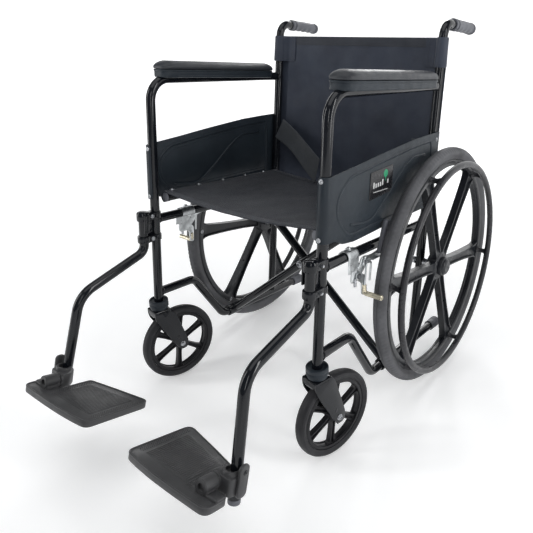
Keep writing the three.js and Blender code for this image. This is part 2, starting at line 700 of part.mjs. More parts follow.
for (const [suffix, sign] of [["left", 1], ["right", -1]]) {
  const side = new THREE.Group();
  side.scale.x = sign;
  for (const [name, made, material] of SIDE_PIECES) side.add(mesh(name + "_" + suffix, made, material));
  frame.add(side);
}

frame.add(mesh("brace_front", brace(-1, BRACE_FRONT_Y), PAINT));
frame.add(mesh("brace_rear", brace(1, BRACE_REAR_Y), PAINT));
frame.add(mesh("brace_bolt", braceBolt(), ZINC));

const SEAT_TOP = SEAT_RAIL_Z + TUBE_R + GAP + CLOTH;
const RIGHT_STRAP = [vec(-226, 440, 612), vec(-110, 392, 535), vec(-30, 360, SEAT_TOP + 9)];
const LEFT_STRAP = [vec(214, 436, 612), vec(210, 425, 524), vec(200, 395, SEAT_TOP + 7)];
frame.add(mesh("lap_belt_right", strap(RIGHT_STRAP), CLOTH_BLACK));
frame.add(mesh("lap_belt_left", strap(LEFT_STRAP), CLOTH_BLACK));

// The casters stand square to the floor under the raked posts, both trailing a little to the chair's left.
const foot = vec(FRAME_X, 0, FOOT_Z).applyAxisAngle(vec(1, 0, 0), -RAKE).add(vec(0, 0, FRAME_RISE));
const socket = rod(vec(FRAME_X, 0, FOOT_Z - GAP), vec(FRAME_X, 0, FOOT_Z + 80), TUBE_R + GAP);
const rakedSocket = solid(geometryOf(socket).rotateX(-RAKE).translate(0, 0, FRAME_RISE));
const cup = solid(geometryOf(casterBushing(foot.z)).translate(foot.x, foot.y, 0));
for (const [suffix, sign] of [["left", 1], ["right", -1]]) {
  const caster = new THREE.Group();
  caster.position.set(sign * foot.x, foot.y, 0);
  caster.rotation.z = -CASTER_SWIVEL;
  caster.add(mesh("caster_fork_" + suffix, casterFork(foot.z - 4), PAINT));
  caster.add(mesh("caster_wheel_" + suffix, casterWheel(), PLASTIC));
  caster.add(mesh("caster_tyre_" + suffix, casterTyre(), RUBBER));
  chair.add(caster);

  const housing = new THREE.Group();
  housing.scale.x = sign;
  housing.add(mesh("caster_bushing_" + suffix, cut(cup, rakedSocket), PLASTIC));
  chair.add(housing);
}

// Origin at the middle of the chair's footprint, on the floor.
const extent = new THREE.Box3().setFromObject(chair, true);
const middle = extent.getCenter(new THREE.Vector3());
chair.position.set(-middle.x, -middle.y, -extent.min.z);

export default chair;
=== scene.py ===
import math

import bmesh
import bpy
from mathutils import Matrix, Vector, noise


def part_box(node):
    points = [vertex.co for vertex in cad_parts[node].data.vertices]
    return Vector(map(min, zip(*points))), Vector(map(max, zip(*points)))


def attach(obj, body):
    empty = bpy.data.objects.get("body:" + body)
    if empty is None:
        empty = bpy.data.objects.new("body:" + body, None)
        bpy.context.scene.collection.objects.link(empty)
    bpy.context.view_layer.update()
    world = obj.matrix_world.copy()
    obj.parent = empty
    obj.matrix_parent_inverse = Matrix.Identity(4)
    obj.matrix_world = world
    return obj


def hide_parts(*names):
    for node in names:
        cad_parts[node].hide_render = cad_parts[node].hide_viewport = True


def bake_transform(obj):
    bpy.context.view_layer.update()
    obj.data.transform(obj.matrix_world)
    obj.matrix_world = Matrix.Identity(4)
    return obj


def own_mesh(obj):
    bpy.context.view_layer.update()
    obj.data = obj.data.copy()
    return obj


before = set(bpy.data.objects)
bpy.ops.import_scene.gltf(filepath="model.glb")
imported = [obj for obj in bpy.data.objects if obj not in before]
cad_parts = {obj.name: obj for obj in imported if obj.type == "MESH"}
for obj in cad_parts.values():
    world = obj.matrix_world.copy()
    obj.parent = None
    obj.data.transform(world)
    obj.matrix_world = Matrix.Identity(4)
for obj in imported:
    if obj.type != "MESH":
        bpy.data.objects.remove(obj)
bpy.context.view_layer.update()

RAKE = math.radians(5.6)
AXLE = Vector((0, 449.5, 303))
FRAME_X = 251
TUBE_R = 11
ARM = (742, 749)
CANE_TOP = 894
RAIL_Z = 76
SIDE_RAIL_Z = 409
MID_RAIL_Z = 216
PLATE_TILT = 0.2
WHEEL_X = 299
HANDRIM_X = 339
SPOKE_PHASE = math.radians(-5)
CASTER_R = 100.5
CASTER_TRAIL = 42.5

MM = Matrix.Scale(0.001, 4)
MIRROR = Matrix.Scale(-1, 4, (1, 0, 0))


def middle(node):
    low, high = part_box(node)
    return (low + high) / 2


hub = middle("rear_tyre_left")
FRAME = (
    Matrix.Translation((0, hub.y, hub.z))
    @ Matrix.Rotation(-RAKE, 4, "X")
    @ MM
    @ Matrix.Translation(-AXLE)
)
HINGE = (245, 11)
PLATE = Matrix.Translation((0, -337, 102)) @ Matrix.Rotation(-PLATE_TILT, 4, "X")


# ---------------------------------------------------------------- materials


def material(name, color, roughness, metallic=0.0, coat=0.0, sheen=0.0, specular=0.5):
    made = bpy.data.materials.new(name)
    made.use_nodes = True
    shader = made.node_tree.nodes["Principled BSDF"]
    shader.inputs["Base Color"].default_value = (*color, 1)
    shader.inputs["Roughness"].default_value = roughness
    shader.inputs["Metallic"].default_value = metallic
    shader.inputs["Coat Weight"].default_value = coat
    shader.inputs["Coat Roughness"].default_value = 0.12
    shader.inputs["Sheen Weight"].default_value = sheen
    shader.inputs["Sheen Roughness"].default_value = 0.4
    shader.inputs["Specular IOR Level"].default_value = specular
    return made


def node(made, kind, **settings):
    new = made.node_tree.nodes.new(kind)
    for key, value in settings.items():
        if key in new.inputs:
            new.inputs[key].default_value = value
        else:
            setattr(new, key, value)
    return new


def link(made, source, target):
    made.node_tree.links.new(source, target)


def coordinates(made, scale=(1, 1, 1)):
    place = node(made, "ShaderNodeTexCoord").outputs["Object"]
    mapping = node(made, "ShaderNodeMapping")
    mapping.inputs["Scale"].default_value = scale
    link(made, place, mapping.inputs["Vector"])
    return mapping.outputs["Vector"]


def noise_of(made, scale, detail=3.0, roughness=0.5, stretch=(1, 1, 1)):
    texture = node(made, "ShaderNodeTexNoise", Scale=scale, Detail=detail, Roughness=roughness)
    link(made, coordinates(made, stretch), texture.inputs["Vector"])
    return texture.outputs["Fac"]


def between(made, value, low, high, bottom, top):
    span = node(made, "ShaderNodeMapRange")
    span.inputs["From Min"].default_value = low
    span.inputs["From Max"].default_value = high
    span.inputs["To Min"].default_value = bottom
    span.inputs["To Max"].default_value = top
    link(made, value, span.inputs["Value"])
    return span.outputs["Result"]


def vary_roughness(made, value, bottom, top):
    shader = made.node_tree.nodes["Principled BSDF"]
    link(made, between(made, value, 0.3, 0.7, bottom, top), shader.inputs["Roughness"])


def vary_color(made, value, dark, light):
    shader = made.node_tree.nodes["Principled BSDF"]
    ramp = node(made, "ShaderNodeValToRGB")
    ramp.color_ramp.elements[0].position = 0.3
    ramp.color_ramp.elements[0].color = (*dark, 1)
    ramp.color_ramp.elements[1].position = 0.7
    ramp.color_ramp.elements[1].color = (*light, 1)
    link(made, value, ramp.inputs["Fac"])
    link(made, ramp.outputs["Color"], shader.inputs["Base Color"])


def bump(made, layers):
    """layers is a list of (height, strength, distance in metres), stacked."""
    shader = made.node_tree.nodes["Principled BSDF"]
    normal = None
    for height, strength, distance in layers:
        new = node(made, "ShaderNodeBump", Strength=strength, Distance=distance)
        link(made, height, new.inputs["Height"])
        if normal is not None:
            link(made, normal, new.inputs["Normal"])
        normal = new.outputs["Normal"]
    link(made, normal, shader.inputs["Normal"])


def waves(made, scale, axis, distortion=0.0):
    bands = node(made, "ShaderNodeTexWave", bands_direction=axis, Scale=scale, Distortion=distortion)
    link(made, coordinates(made), bands.inputs["Vector"])
    return bands.outputs["Fac"]


def total(made, a, b):
    new = node(made, "ShaderNodeMath", operation="ADD")
    link(made, a, new.inputs[0])
    link(made, b, new.inputs[1])
    return new.outputs["Value"]


def painted():
    made = material("black_paint", (0.004, 0.005, 0.007), 0.18, coat=0.12, specular=0.3)
    vary_roughness(made, noise_of(made, 9, 4), 0.07, 0.17)
    vary_color(made, noise_of(made, 30, 5), (0.003, 0.004, 0.006), (0.008, 0.009, 0.012))
    bump(made, [(noise_of(made, 420, 2), 0.05, 0.0004)])
    return made


def moulded(name, dark, light, roughness, grain, strength, specular=0.4):
    made = material(name, dark, roughness, specular=specular)
    vary_color(made, noise_of(made, 14, 5), dark, light)
    vary_roughness(made, noise_of(made, 60, 3), roughness - 0.08, roughness + 0.08)
    bump(made, [(noise_of(made, grain, 3, 0.7), strength, 0.0006)])
    return made


def woven(name, dark, light, pitch, axes="XY", roughness=0.62, sheen=0.15, crease=0.35):
    made = material(name, dark, roughness, sheen=sheen, specular=0.35)
    a = waves(made, pitch, axes[0], 0.25)
    b = waves(made, pitch, axes[1], 0.25)
    weave = total(made, a, b)
    vary_color(made, noise_of(made, 11, 5, 0.6), dark, light)
    vary_roughness(made, noise_of(made, 25, 3), roughness - 0.12, roughness + 0.1)
    folds = noise_of(made, 6, 4, 0.5, (1, 1.6, 1))
    bump(made, [(folds, crease, 0.008), (weave, 0.25, 0.0005)])
    return made


def metal(name, color, roughness):
    made = material(name, color, roughness, metallic=1.0)
    lighter = tuple(min(1, v * 1.18) for v in color)
    darker = tuple(v * 0.75 for v in color)
    vary_color(made, noise_of(made, 55, 5), darker, lighter)
    vary_roughness(made, noise_of(made, 120, 4), roughness - 0.1, roughness + 0.14)
    bump(made, [(noise_of(made, 300, 3), 0.08, 0.0004)])
    return made


PAINT = painted()
PANEL = moulded("panel_plastic", (0.012, 0.017, 0.023), (0.019, 0.026, 0.034), 0.46, 900, 0.3, 0.28)
FOOT = moulded("footplate_plastic", (0.036, 0.036, 0.038), (0.056, 0.056, 0.058), 0.42, 800, 0.3)
WHEEL = moulded("wheel_plastic", (0.008, 0.009, 0.012), (0.015, 0.017, 0.021), 0.34, 700, 0.18)
CASTER = moulded("caster_plastic", (0.006, 0.006, 0.008), (0.011, 0.011, 0.013), 0.42, 700, 0.2, 0.25)
RIM = moulded("handrim_plastic", (0.012, 0.012, 0.015), (0.020, 0.020, 0.024), 0.32, 500, 0.12)
TYRE = moulded("tyre_rubber", (0.062, 0.063, 0.068), (0.105, 0.106, 0.114), 0.64, 600, 0.3, 0.35)
CASTER_TYRE = moulded(
    "caster_rubber", (0.012, 0.012, 0.014), (0.022, 0.022, 0.025), 0.55, 600, 0.25, 0.3
)
GRIP = moulded("grip_rubber", (0.085, 0.088, 0.102), (0.125, 0.130, 0.148), 0.5, 500, 0.25, 0.4)
VINYL = moulded("armrest_vinyl", (0.020, 0.022, 0.027), (0.034, 0.037, 0.043), 0.44, 650, 0.35)
# The seat and the back are one nylon fabric: the back's lighter, bluer colour is painted light where it faces
# the lamps, and the seat's darker colour is painted shade.
NYLON = woven("seat_nylon", (0.013, 0.015, 0.021), (0.021, 0.024, 0.032), 190, "XY")
BACK_NYLON_PAINTED_LIGHT = woven("back_nylon_painted_light", (0.021, 0.026, 0.041), (0.034, 0.042, 0.062), 190, "XZ")
HEM = woven("hem_tape", (0.020, 0.023, 0.031), (0.030, 0.034, 0.045), 320, "XZ", 0.6, 0.2, 0.1)
WEB = woven("belt_webbing", (0.034, 0.038, 0.044), (0.060, 0.066, 0.074), 300, "XY", 0.68, 0.3, 0.1)
THREAD = moulded("thread", (0.05, 0.055, 0.065), (0.08, 0.088, 0.1), 0.7, 900, 0.3)
ZINC = metal("zinc_plate", (0.56, 0.58, 0.59), 0.34)
YELLOW = metal("yellow_zinc", (0.62, 0.57, 0.44), 0.3)
STEEL = metal("bright_steel", (0.42, 0.43, 0.45), 0.3)
BADGE = moulded("badge_face", (0.006, 0.006, 0.008), (0.010, 0.010, 0.012), 0.25, 500, 0.04)
ACCENT = moulded("badge_accent", (0.01, 0.22, 0.10), (0.02, 0.30, 0.14), 0.35, 500, 0.05)
PALE = moulded("badge_pale", (0.45, 0.45, 0.45), (0.55, 0.55, 0.55), 0.4, 500, 0.05)


# ---------------------------------------------------------------- mesh building


def piece(name, shape, finish, body, place=FRAME, stands_for=(), slot=None, angle=32, ride=True):
    """Turns a bmesh drawn in millimetres into a finished piece on a body."""
    shape.transform(place)
    if place.to_3x3().determinant() < 0:
        bmesh.ops.reverse_faces(shape, faces=shape.faces)
    mesh = bpy.data.meshes.new(name)
    shape.to_mesh(mesh)
    shape.free()
    mesh.materials.append(finish)
    mesh.polygons.foreach_set("use_smooth", [True] * len(mesh.polygons))
    mesh.set_sharp_from_angle(angle=math.radians(angle))
    made = bpy.data.objects.new(name, mesh)
    bpy.context.scene.collection.objects.link(made)
    if stands_for:
        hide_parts(*stands_for)
    if ride:
        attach(made, body)
    return made


def fitted(side, name, shape, finish, body, place, slot, node_name=None, **more):
    """One side's copy of a piece that comes in pairs; node_name is the CAD node it stands for."""
    nodes = [f"{node_name}_{side}"] if node_name else []
    return piece(f"{name}_{side}", shape, finish, body, place.copy(), nodes, slot, **more)


def merged(*shapes):
    whole = shapes[0]
    for other in shapes[1:]:
        mesh = bpy.data.meshes.new("part")
        other.to_mesh(mesh)
        other.free()
        whole.from_mesh(mesh)
        bpy.data.meshes.remove(mesh)
    return whole


def moved(shape, matrix):
    shape.transform(matrix)
    if matrix.to_3x3().determinant() < 0:
        bmesh.ops.reverse_faces(shape, faces=shape.faces)
    return shape


def turns(count):
    """Angles evenly round a circle."""
    return [2 * math.pi * k / count for k in range(count)]


def loft(loops, closed=False):
    """Skins a list of closed loops, each a list of points of one length."""
    shape = bmesh.new()
    rows = [[shape.verts.new(p) for p in loop] for loop in loops]
    pairs = list(zip(rows, rows[1:]))
    if closed:
        pairs.append((rows[-1], rows[0]))
    count = len(rows[0])
    for a, b in pairs:
        for i in range(count):
            j = (i + 1) % count
            shape.faces.new((a[i], a[j], b[j], b[i]))
    if not closed:
        shape.faces.new(list(reversed(rows[0])))
        shape.faces.new(rows[-1])
    bmesh.ops.recalc_face_normals(shape, faces=shape.faces)
    return shape


def bent(corners, radii, step=6):
    """A centre line of straight runs with round bends."""
    points = [Vector(corners[0])]
    for i in range(1, len(corners) - 1):
        a, b, c = (Vector(v) for v in corners[i - 1 : i + 2])
        radius = radii[min(i - 1, len(radii) - 1)]
        back, ahead = (a - b).normalized(), (c - b).normalized()
        half = back.angle(ahead) / 2
        centre = b + (back + ahead).normalized() * radius / math.sin(half)
        start = b + back * radius / math.tan(half) - centre
        axis = start.cross((back + ahead).normalized()).normalized()
        turn = math.pi - 2 * half
        count = max(3, round(math.degrees(turn) / step))
        for k in range(count + 1):
            points.append(centre + Matrix.Rotation(-turn * k / count, 3, axis) @ start)
    points.append(Vector(corners[-1]))
    return points


def directions(points):
    """The line's direction at each of its points."""
    last = len(points) - 1
    return [(points[min(i + 1, last)] - points[max(i - 1, 0)]).normalized() for i in range(last + 1)]


def frames_along(points):
    """A pair of axes across the line at each point, carried along without twist."""
    tangents = directions(points)
    side = tangents[0].orthogonal().normalized()
    pairs = []
    for tangent in tangents:
        side = (side - tangent * side.dot(tangent)).normalized()
        pairs.append((side.copy(), tangent.cross(side)))
    return pairs


def tube(points, radius, sides=28, edge=1.2):
    """A round bar along a line, with softened ends. radius is a number or one for each point."""
    points = [Vector(p) for p in points]
    radii = radius if isinstance(radius, list) else [radius] * len(points)
    axes = frames_along(points)
    first, last = (points[1] - points[0]).normalized(), (points[-1] - points[-2]).normalized()
    stations = [(points[0], radii[0] - edge, axes[0]), (points[0] + first * edge, radii[0], axes[0])]
    stations += list(zip(points[1:-1], radii[1:-1], axes[1:-1]))
    stations += [
        (points[-1] - last * edge, radii[-1], axes[-1]), (points[-1], radii[-1] - edge, axes[-1])
    ]
    loops = []
    for centre, r, (u, v) in stations:
        loops.append([centre + r * (math.cos(t) * u + math.sin(t) * v) for t in turns(sides)])
    return loft(loops)


def turned(profile, segments=96, ring=False):
    """A lathe about the x axis: profile points are (radius, x)."""
    shape = bmesh.new()
    rows = []
    for t in turns(segments):
        rows.append([shape.verts.new((x, r * math.cos(t), r * math.sin(t))) for r, x in profile])
    count = len(profile)
    for k in range(segments):
        a, b = rows[k], rows[(k + 1) % segments]
        for i in range(count if ring else count - 1):
            j = (i + 1) % count
            shape.faces.new((a[i], a[j], b[j], b[i]))
    bmesh.ops.remove_doubles(shape, verts=shape.verts, dist=1e-4)
    bmesh.ops.recalc_face_normals(shape, faces=shape.faces)
    return shape


def at(x, y, z):
    return Matrix.Translation((x, y, z))


def aimed(point, direction):
    """Places a shape turned about x so that its x axis points along direction."""
    turn = Vector((1, 0, 0)).rotation_difference(Vector(direction)).to_matrix().to_4x4()
    return Matrix.Translation(point) @ turn


def rounded(points, steps=5):
    """Rounds the corners (u, v, radius) of an outline."""
    out = []
    for i, corner in enumerate(points):
        here = Vector(corner[:2])
        radius = corner[2] if len(corner) > 2 else 0
        before = (Vector(points[i - 1][:2]) - here).normalized()
        after = (Vector(points[(i + 1) % len(points)][:2]) - here).normalized()
        if not radius:
            out.append(here)
            continue
        enter, leave = here + before * radius, here + after * radius
        for k in range(steps + 1):
            t = k / steps
            out.append(enter * (1 - t) ** 2 + here * 2 * t * (1 - t) + leave * t * t)
    return out


def plate(points, low, high, axis="x", edge=0.8, steps=5):
    """A flat plate with softened edges: an outline of (y, z) for axis x, or (x, y) for axis z."""
    outline = rounded(points, steps)
    area = sum(a.x * b.y - b.x * a.y for a, b in zip(outline, outline[1:] + outline[:1]))
    if area < 0:
        outline.reverse()
    inward = []
    count = len(outline)
    for i in range(count):
        a, b, c = outline[i - 1], outline[i], outline[(i + 1) % count]
        into, out = (b - a), (c - b)
        normal = Vector((-(into.y + out.y), into.x + out.x))
        inward.append(normal.normalized() if normal.length > 1e-9 else Vector((0, 0)))

    def level(depth, inset):
        flat = [p + n * inset for p, n in zip(outline, inward)]
        return [(depth, p.x, p.y) if axis == "x" else (p.x, p.y, depth) for p in flat]

    stack = [(low, edge), (low + edge * 0.4, edge * 0.3), (low + edge, 0)]
    stack += [(high - edge, 0), (high - edge * 0.4, edge * 0.3), (high, edge)]
    shape = loft([level(depth, inset) for depth, inset in stack])
    bmesh.ops.triangulate(shape, faces=[f for f in shape.faces if len(f.verts) > 4])
    return shape


def block(low, high, edge=1.5):
    (x0, y0, z0), (x1, y1, z1) = low, high
    r = edge
    return plate([(x0, y0, r), (x1, y0, r), (x1, y1, r), (x0, y1, r)], z0, z1, "z", edge, 3)


def bolt(point, direction, radius=5, height=4, washer=None):
    """A domed hex socket head seen from outside, on a washer."""
    r, h = radius, height
    w = washer or r * 1.45
    head = [
        (0, h * 0.35), (r * 0.42, h * 0.35), (r * 0.46, h), (r * 0.7, h * 0.96), (r * 0.95, h * 0.6),
        (r, 0.8)
    ]
    flange = [(r, 0.8), (w - 0.4, 0.8), (w, 0.3), (w, -1.5), (0, -1.5)]
    return moved(turned(head + flange, 24), aimed(point, direction))


def hex_nut(point, direction, radius=6, height=5):
    shape = turned(
        [
            (0, height + 2), (3, height + 2), (3.4, height), (radius * 0.9, height),
            (radius, height - 0.8), (radius, -1), (0, -1)
        ],
        6
    )
    ring = turned([(radius * 1.35, 0.6), (radius * 1.35, -1), (0, -1), (0, 0.6)], 24)
    return moved(merged(shape, ring), aimed(point, direction))


def weld(point, direction, radius=TUBE_R):
    """A fillet bead round the end of a tube that meets another."""
    bead = [
        (radius - 0.6, -1.4), (radius + 1.5, -1.4), (radius + 1.2, 0.4), (radius + 0.3, 1.6),
        (radius - 0.6, 2)
    ]
    return moved(turned(bead, 40, ring=True), aimed(point, direction))


def cane_y(z):
    return AXLE.y + 0.023 * (z - AXLE.z)


def on_cane(z, x=FRAME_X):
    return Vector((x, cane_y(z), z))


def arm_z(y):
    return ARM[0] + (ARM[1] - ARM[0]) * y / AXLE.y


SIDES = (("left", FRAME), ("right", FRAME @ MIRROR))


# ---------------------------------------------------------------- side frames

HANGER = bent(
    [(FRAME_X, -36, 426), (FRAME_X, -36, 334), (FRAME_X, -213, 274), (268, -260, 52)], [26, 60], 5
)


def grip_shape():
    """Rubber handle: a flange at the mouth, a palm swell above, and finger grooves below."""
    start, end = Vector((FRAME_X, 508, CANE_TOP - 0.9)), Vector((FRAME_X, 632, CANE_TOP - 4))
    length = (end - start).length
    loops = []
    count = 62
    for k in range(count + 1):
        t = k / count
        centre = start.lerp(end, t)
        d = t * length
        base = 14.2
        if d < 7:
            base = 14.9
        groove = 0.0
        if 14 < d < 108:
            groove = 2.1 * (0.5 - 0.5 * math.cos((d - 14) / 94 * 4 * 2 * math.pi)) ** 0.8
        fade = 1.0
        if d < 1.5:
            fade = 0.9 + 0.1 * math.sqrt(d / 1.5)
        if d > length - 6:
            fade = math.sqrt(max(0.0, 1 - ((d - length + 6) / 6.2) ** 2))
        loop = []
        for a in turns(36):
            under = max(0.0, -math.sin(a))
            swell = 0.5 * max(0.0, math.sin(a)) * (0.5 - 0.5 * math.cos(2 * math.pi * t))
            r = (base - groove * under + swell) * fade
            loop.append(centre + Vector((r * math.cos(a), 0, r * math.sin(a))))
        loops.append(loop)
    return loft(loops)


def grip_rings():
    """Fine raised bands near the mouth and the end of the handle."""
    shapes = []
    for d in (10.5, 13, 15.5, 107, 109.5, 112):
        centre = Vector((FRAME_X, 508 + d, CANE_TOP - 0.9 - d * 0.025))
        band = turned([(13.6, -0.6), (15, -0.4), (15, 0.4), (13.6, 0.6)], 40, ring=True)
        shapes.append(moved(band, aimed(centre, (0, 1, -0.025))))
    return merged(*shapes)


def armrest_outline(inset):
    x0, x1 = FRAME_X - 28.5 + inset, FRAME_X + 28.5 - inset
    y0, y1 = 22 + inset, 412 - inset
    r = max(25 - inset, 3)
    return [(x0, y0, r), (x1, y0, r), (x1, y1, r), (x0, y1, r)]


def armrest_trough():
    low = arm_z(22) + 3
    body = plate(armrest_outline(2), low, low + 19, "z", 2.5, 6)
    lip = plate(armrest_outline(0.6), low + 14.5, low + 18.6, "z", 1.2, 6)
    ledge = plate(
        [(222.9, 60, 5), (226, 60, 2), (226, 380, 2), (222.9, 380, 5)], low + 1, low + 6, "z", 0.8
    )
    return merged(body, lip, ledge)


def armrest_cushion():
    """Crowned pad: bullet ends that drop away, soft shoulders, sides that pull in over the trough."""
    low = arm_z(22) + 22.5
    levels = [
        (0, 2), (1.8, 0.6), (6, 0), (10.5, 0.7), (14.5, 2.4), (18, 5.2), (20.8, 9), (22.8, 13.4),
        (24, 18), (24.4, 21.5),
    ]
    loops = []
    for height, inset in levels:
        loop = []
        for p in rounded(armrest_outline(inset), 10):
            t = abs(p.y - 217) / 195
            drop = 0.42 * max(0, t - 0.62) ** 1.6 / 0.38**1.6
            where = Vector((p.x * 0.03, p.y * 0.02, height * 0.05))
            lift = 0.5 * noise.noise(where) * min(1, height / 10)
            loop.append((p.x, p.y, low + (height + lift) * (1 - drop)))
        loops.append(loop)
    shape = loft(loops)
    bmesh.ops.triangulate(shape, faces=[f for f in shape.faces if len(f.verts) > 4])
    return shape


PANEL_TOP = [
    (-14, 590), (2, 591), (40, 596), (90, 602), (140, 609), (200, 617), (266, 625), (325, 632),
    (400, 637), (461, 640),
]
PANEL_BOTTOM = [
    (-14, 461), (20, 461), (48, 449), (90, 445), (140, 447), (223, 451), (300, 453), (380, 455),
    (461, 457),
]
WRAP = 13.4


def edge_at(line, y):
    for (y0, z0), (y1, z1) in zip(line, line[1:]):
        if y <= y1:
            return z0 + (z1 - z0) * (y - y0) / (y1 - y0)
    return line[-1][1]


def panel_sheet():
    """Moulded side panel: a thin sheet that curls round the front post."""

    def surface(u):
        arc = WRAP * 2.2
        if u < arc:
            a = -2.2 + u / WRAP
            out = Vector((math.cos(a), math.sin(a), 0))
            return Vector((FRAME_X, 0, 0)) + out * WRAP, out
        return Vector((FRAME_X + WRAP, u - arc, 0)), Vector((1, 0, 0))

    stations = [k * 2.1 for k in range(14)] + [WRAP * 2.2 + 461 * k / 60 for k in range(61)]
    loops = []
    for u in stations:
        point, out = surface(u)
        y = max(point.y, -14)
        trim = max(0, 6 - 2 * u)
        z1, z0 = edge_at(PANEL_TOP, y) - trim, edge_at(PANEL_BOTTOM, y) + trim
        loop = []
        for depth, inset in ((-1.4, 0.6), (-0.9, 0), (1.0, 0), (1.6, 0.7)):
            loop.append(point + out * depth + Vector((0, 0, z0 + inset)))
        for depth, inset in ((1.6, 0.7), (1.0, 0), (-0.9, 0), (-1.4, 0.6)):
            loop.append(point + out * depth + Vector((0, 0, z1 - inset)))
        loops.append(loop)
    return loft(loops)


def panel_beads(x):
    """Raised lines on a face of the panel: two borders that follow its outline, and a curved swage."""

    def inset_line(y, top, gap):
        return Vector((x, y, edge_at(PANEL_TOP, y) - gap if top else edge_at(PANEL_BOTTOM, y) + gap))

    def smooth_loop(points, rounds):
        for _ in range(rounds):
            cut = []
            for i, a in enumerate(points):
                b = points[(i + 1) % len(points)]
                cut += [a.lerp(b, 0.25), a.lerp(b, 0.75)]
            points = cut
        return points

    def border(gap, start):
        upper = [inset_line(y, True, gap) for y in range(start + 40, 425, 20)]
        lower = [inset_line(y, False, gap) for y in range(424, start + 34, -20)]
        nose = [
            Vector((x, start, edge_at(PANEL_BOTTOM, start) + 44)),
            Vector((x, start, edge_at(PANEL_TOP, start) - 44))
        ]
        return smooth_loop(upper + lower + nose, 2)

    def bead(points, radius):
        loops = []
        for i, p in enumerate(points):
            ahead = points[(i + 1) % len(points)] - points[i - 1]
            u = radius * ahead.cross(Vector((1, 0, 0))).normalized()
            loops.append(
                [p + math.cos(a) * u + Vector((0.75 * radius * math.sin(a), 0, 0)) for a in turns(10)]
            )
        return loft(loops, closed=True)

    swage = []
    for k in range(33):
        t = k / 32
        y = 70 + 318 * t
        f = min(1, max(0, (t - 0.22) / 0.62))
        rise = f * f * (3 - 2 * f)
        swage.append(Vector((x, y, 484 + 108 * rise - 7 * math.sin(math.pi * min(1, t * 2.6)))))
    return merged(bead(border(17, 22), 3.8), bead(border(27, 33), 1.4), tube(swage, 3.5, 12, 1.4))


for side, place in SIDES:
    body = side + "_frame"

    def add(name, shape, finish, slot, node_name=None, **more):
        return fitted(side, name, shape, finish, body, place, slot, node_name, **more)

    post = bent(
        [(FRAME_X, 0, 187.6), (FRAME_X, 0, ARM[0]), (FRAME_X, AXLE.y - 6, arm_z(AXLE.y - 6))], [52], 5
    )
    add("front_post", tube(post, TUBE_R), PAINT, "frame_paint", "armrest_post")
    cane = bent([on_cane(RAIL_Z + 4), on_cane(CANE_TOP), (FRAME_X, 628, CANE_TOP - 4)], [32], 5)
    add("rear_cane", tube(cane, TUBE_R), PAINT, "frame_paint", "back_cane")
    add(
        "side_rail", tube([(FRAME_X, 4, SIDE_RAIL_Z), (FRAME_X, AXLE.y - 2, SIDE_RAIL_Z)], TUBE_R),
        PAINT, "frame_paint", "upper_rail"
    )
    low = bent(
        [
            (FRAME_X, 4, MID_RAIL_Z), (FRAME_X, 118, MID_RAIL_Z), (FRAME_X, 226, RAIL_Z),
            (FRAME_X, 590, RAIL_Z)
        ],
        [34], 5
    )
    add("base_rail", tube(low, TUBE_R), PAINT, "frame_paint", "lower_rail")
    beads = [
        weld((FRAME_X, TUBE_R, SIDE_RAIL_Z), (0, 1, 0)),
        weld((FRAME_X, cane_y(SIDE_RAIL_Z) - TUBE_R, SIDE_RAIL_Z), (0, -1, 0)),
        weld((FRAME_X, TUBE_R, MID_RAIL_Z), (0, 1, 0)),
        weld((FRAME_X, cane_y(748) - TUBE_R, arm_z(AXLE.y)), (0, -1, 0)),
        weld((FRAME_X, cane_y(90), RAIL_Z + TUBE_R), (0, 0, 1)),
    ]
    add("welds", merged(*beads), PAINT, "frame_paint")
    add("handle_grip", grip_shape(), GRIP, "grip_rubber", "push_grip")
    add("handle_bands", grip_rings(), GRIP, "grip_rubber")
    add("arm_trough", armrest_trough(), PANEL, "black_plastic", "armrest_base")
    pad = add("arm_cushion", armrest_cushion(), VINYL, "armrest_vinyl", "armrest_pad", angle=60)
    add(
        "arm_screws",
        merged(*[bolt((FRAME_X, y, arm_z(22) + 3.6), (0, 0, -1), 4, 2.5) for y in (60, 375)]), ZINC,
        "zinc_steel"
    )
    add("side_shell", panel_sheet(), PANEL, "black_plastic", "side_panel", angle=50)
    beads = merged(panel_beads(FRAME_X + WRAP + 0.5), panel_beads(FRAME_X + WRAP - 1.0))
    add("side_beads", beads, PANEL, "black_plastic", angle=50)
    screws = [bolt((FRAME_X, -14.6, z), (0, -1, 0), 3.6, 2.2, 5) for z in (582, 468)]
    screws += [bolt((265.6, 448, z), (1, 0, 0), 3.6, 2.2, 5) for z in (622, 515)]
    add("panel_screws", merged(*screws), STEEL, "zinc_steel")
    cup = turned([(0, 0), (11.5, 0), (14, 2.5), (14, 45), (12.5, 46), (11, 46)], 40)
    ribs = [
        turned([(13.6, x - 0.8), (14.4, x - 0.4), (14.4, x + 0.4), (13.6, x + 0.8)], 40, ring=True)
        for x in (8, 13, 18, 23)
    ]
    tip = moved(merged(cup, *ribs), aimed((FRAME_X, 597, RAIL_Z), (0, -1, 0)))
    add("rail_tip", tip, GRIP, "grip_rubber", "tipping_tip")


# ---------------------------------------------------------------- rear wheels


def tyre_shape(radius, half, bead, depth, segments):
    """A tyre with a ribbed tread: two steps of each four are cut back at the shoulders."""
    loops = []
    for k, t in enumerate(turns(segments)):
        cut = 0 if k % 4 < 2 else depth
        section = [
            (bead, half - 7), (bead + 5, half - 4), (bead + 12, half - 1), (radius - 13, half),
            (radius - 8.5, half - 1.2),
            (radius - 5.5 - cut, half - 3.4), (radius - 2.6 - cut, half - 6.4),
            (radius - 0.9 - cut * 0.6, half - 9.4),
            (radius - 0.9, half - 10.2), (radius - 0.2, half - 13), (radius, 1.1), (radius - 1.2, 0.5),
        ]
        mirror = [(r, -x) for r, x in reversed(section)]
        loops.append([(x, r * math.cos(t), r * math.sin(t)) for r, x in section + mirror])
    return loft(loops, closed=True)


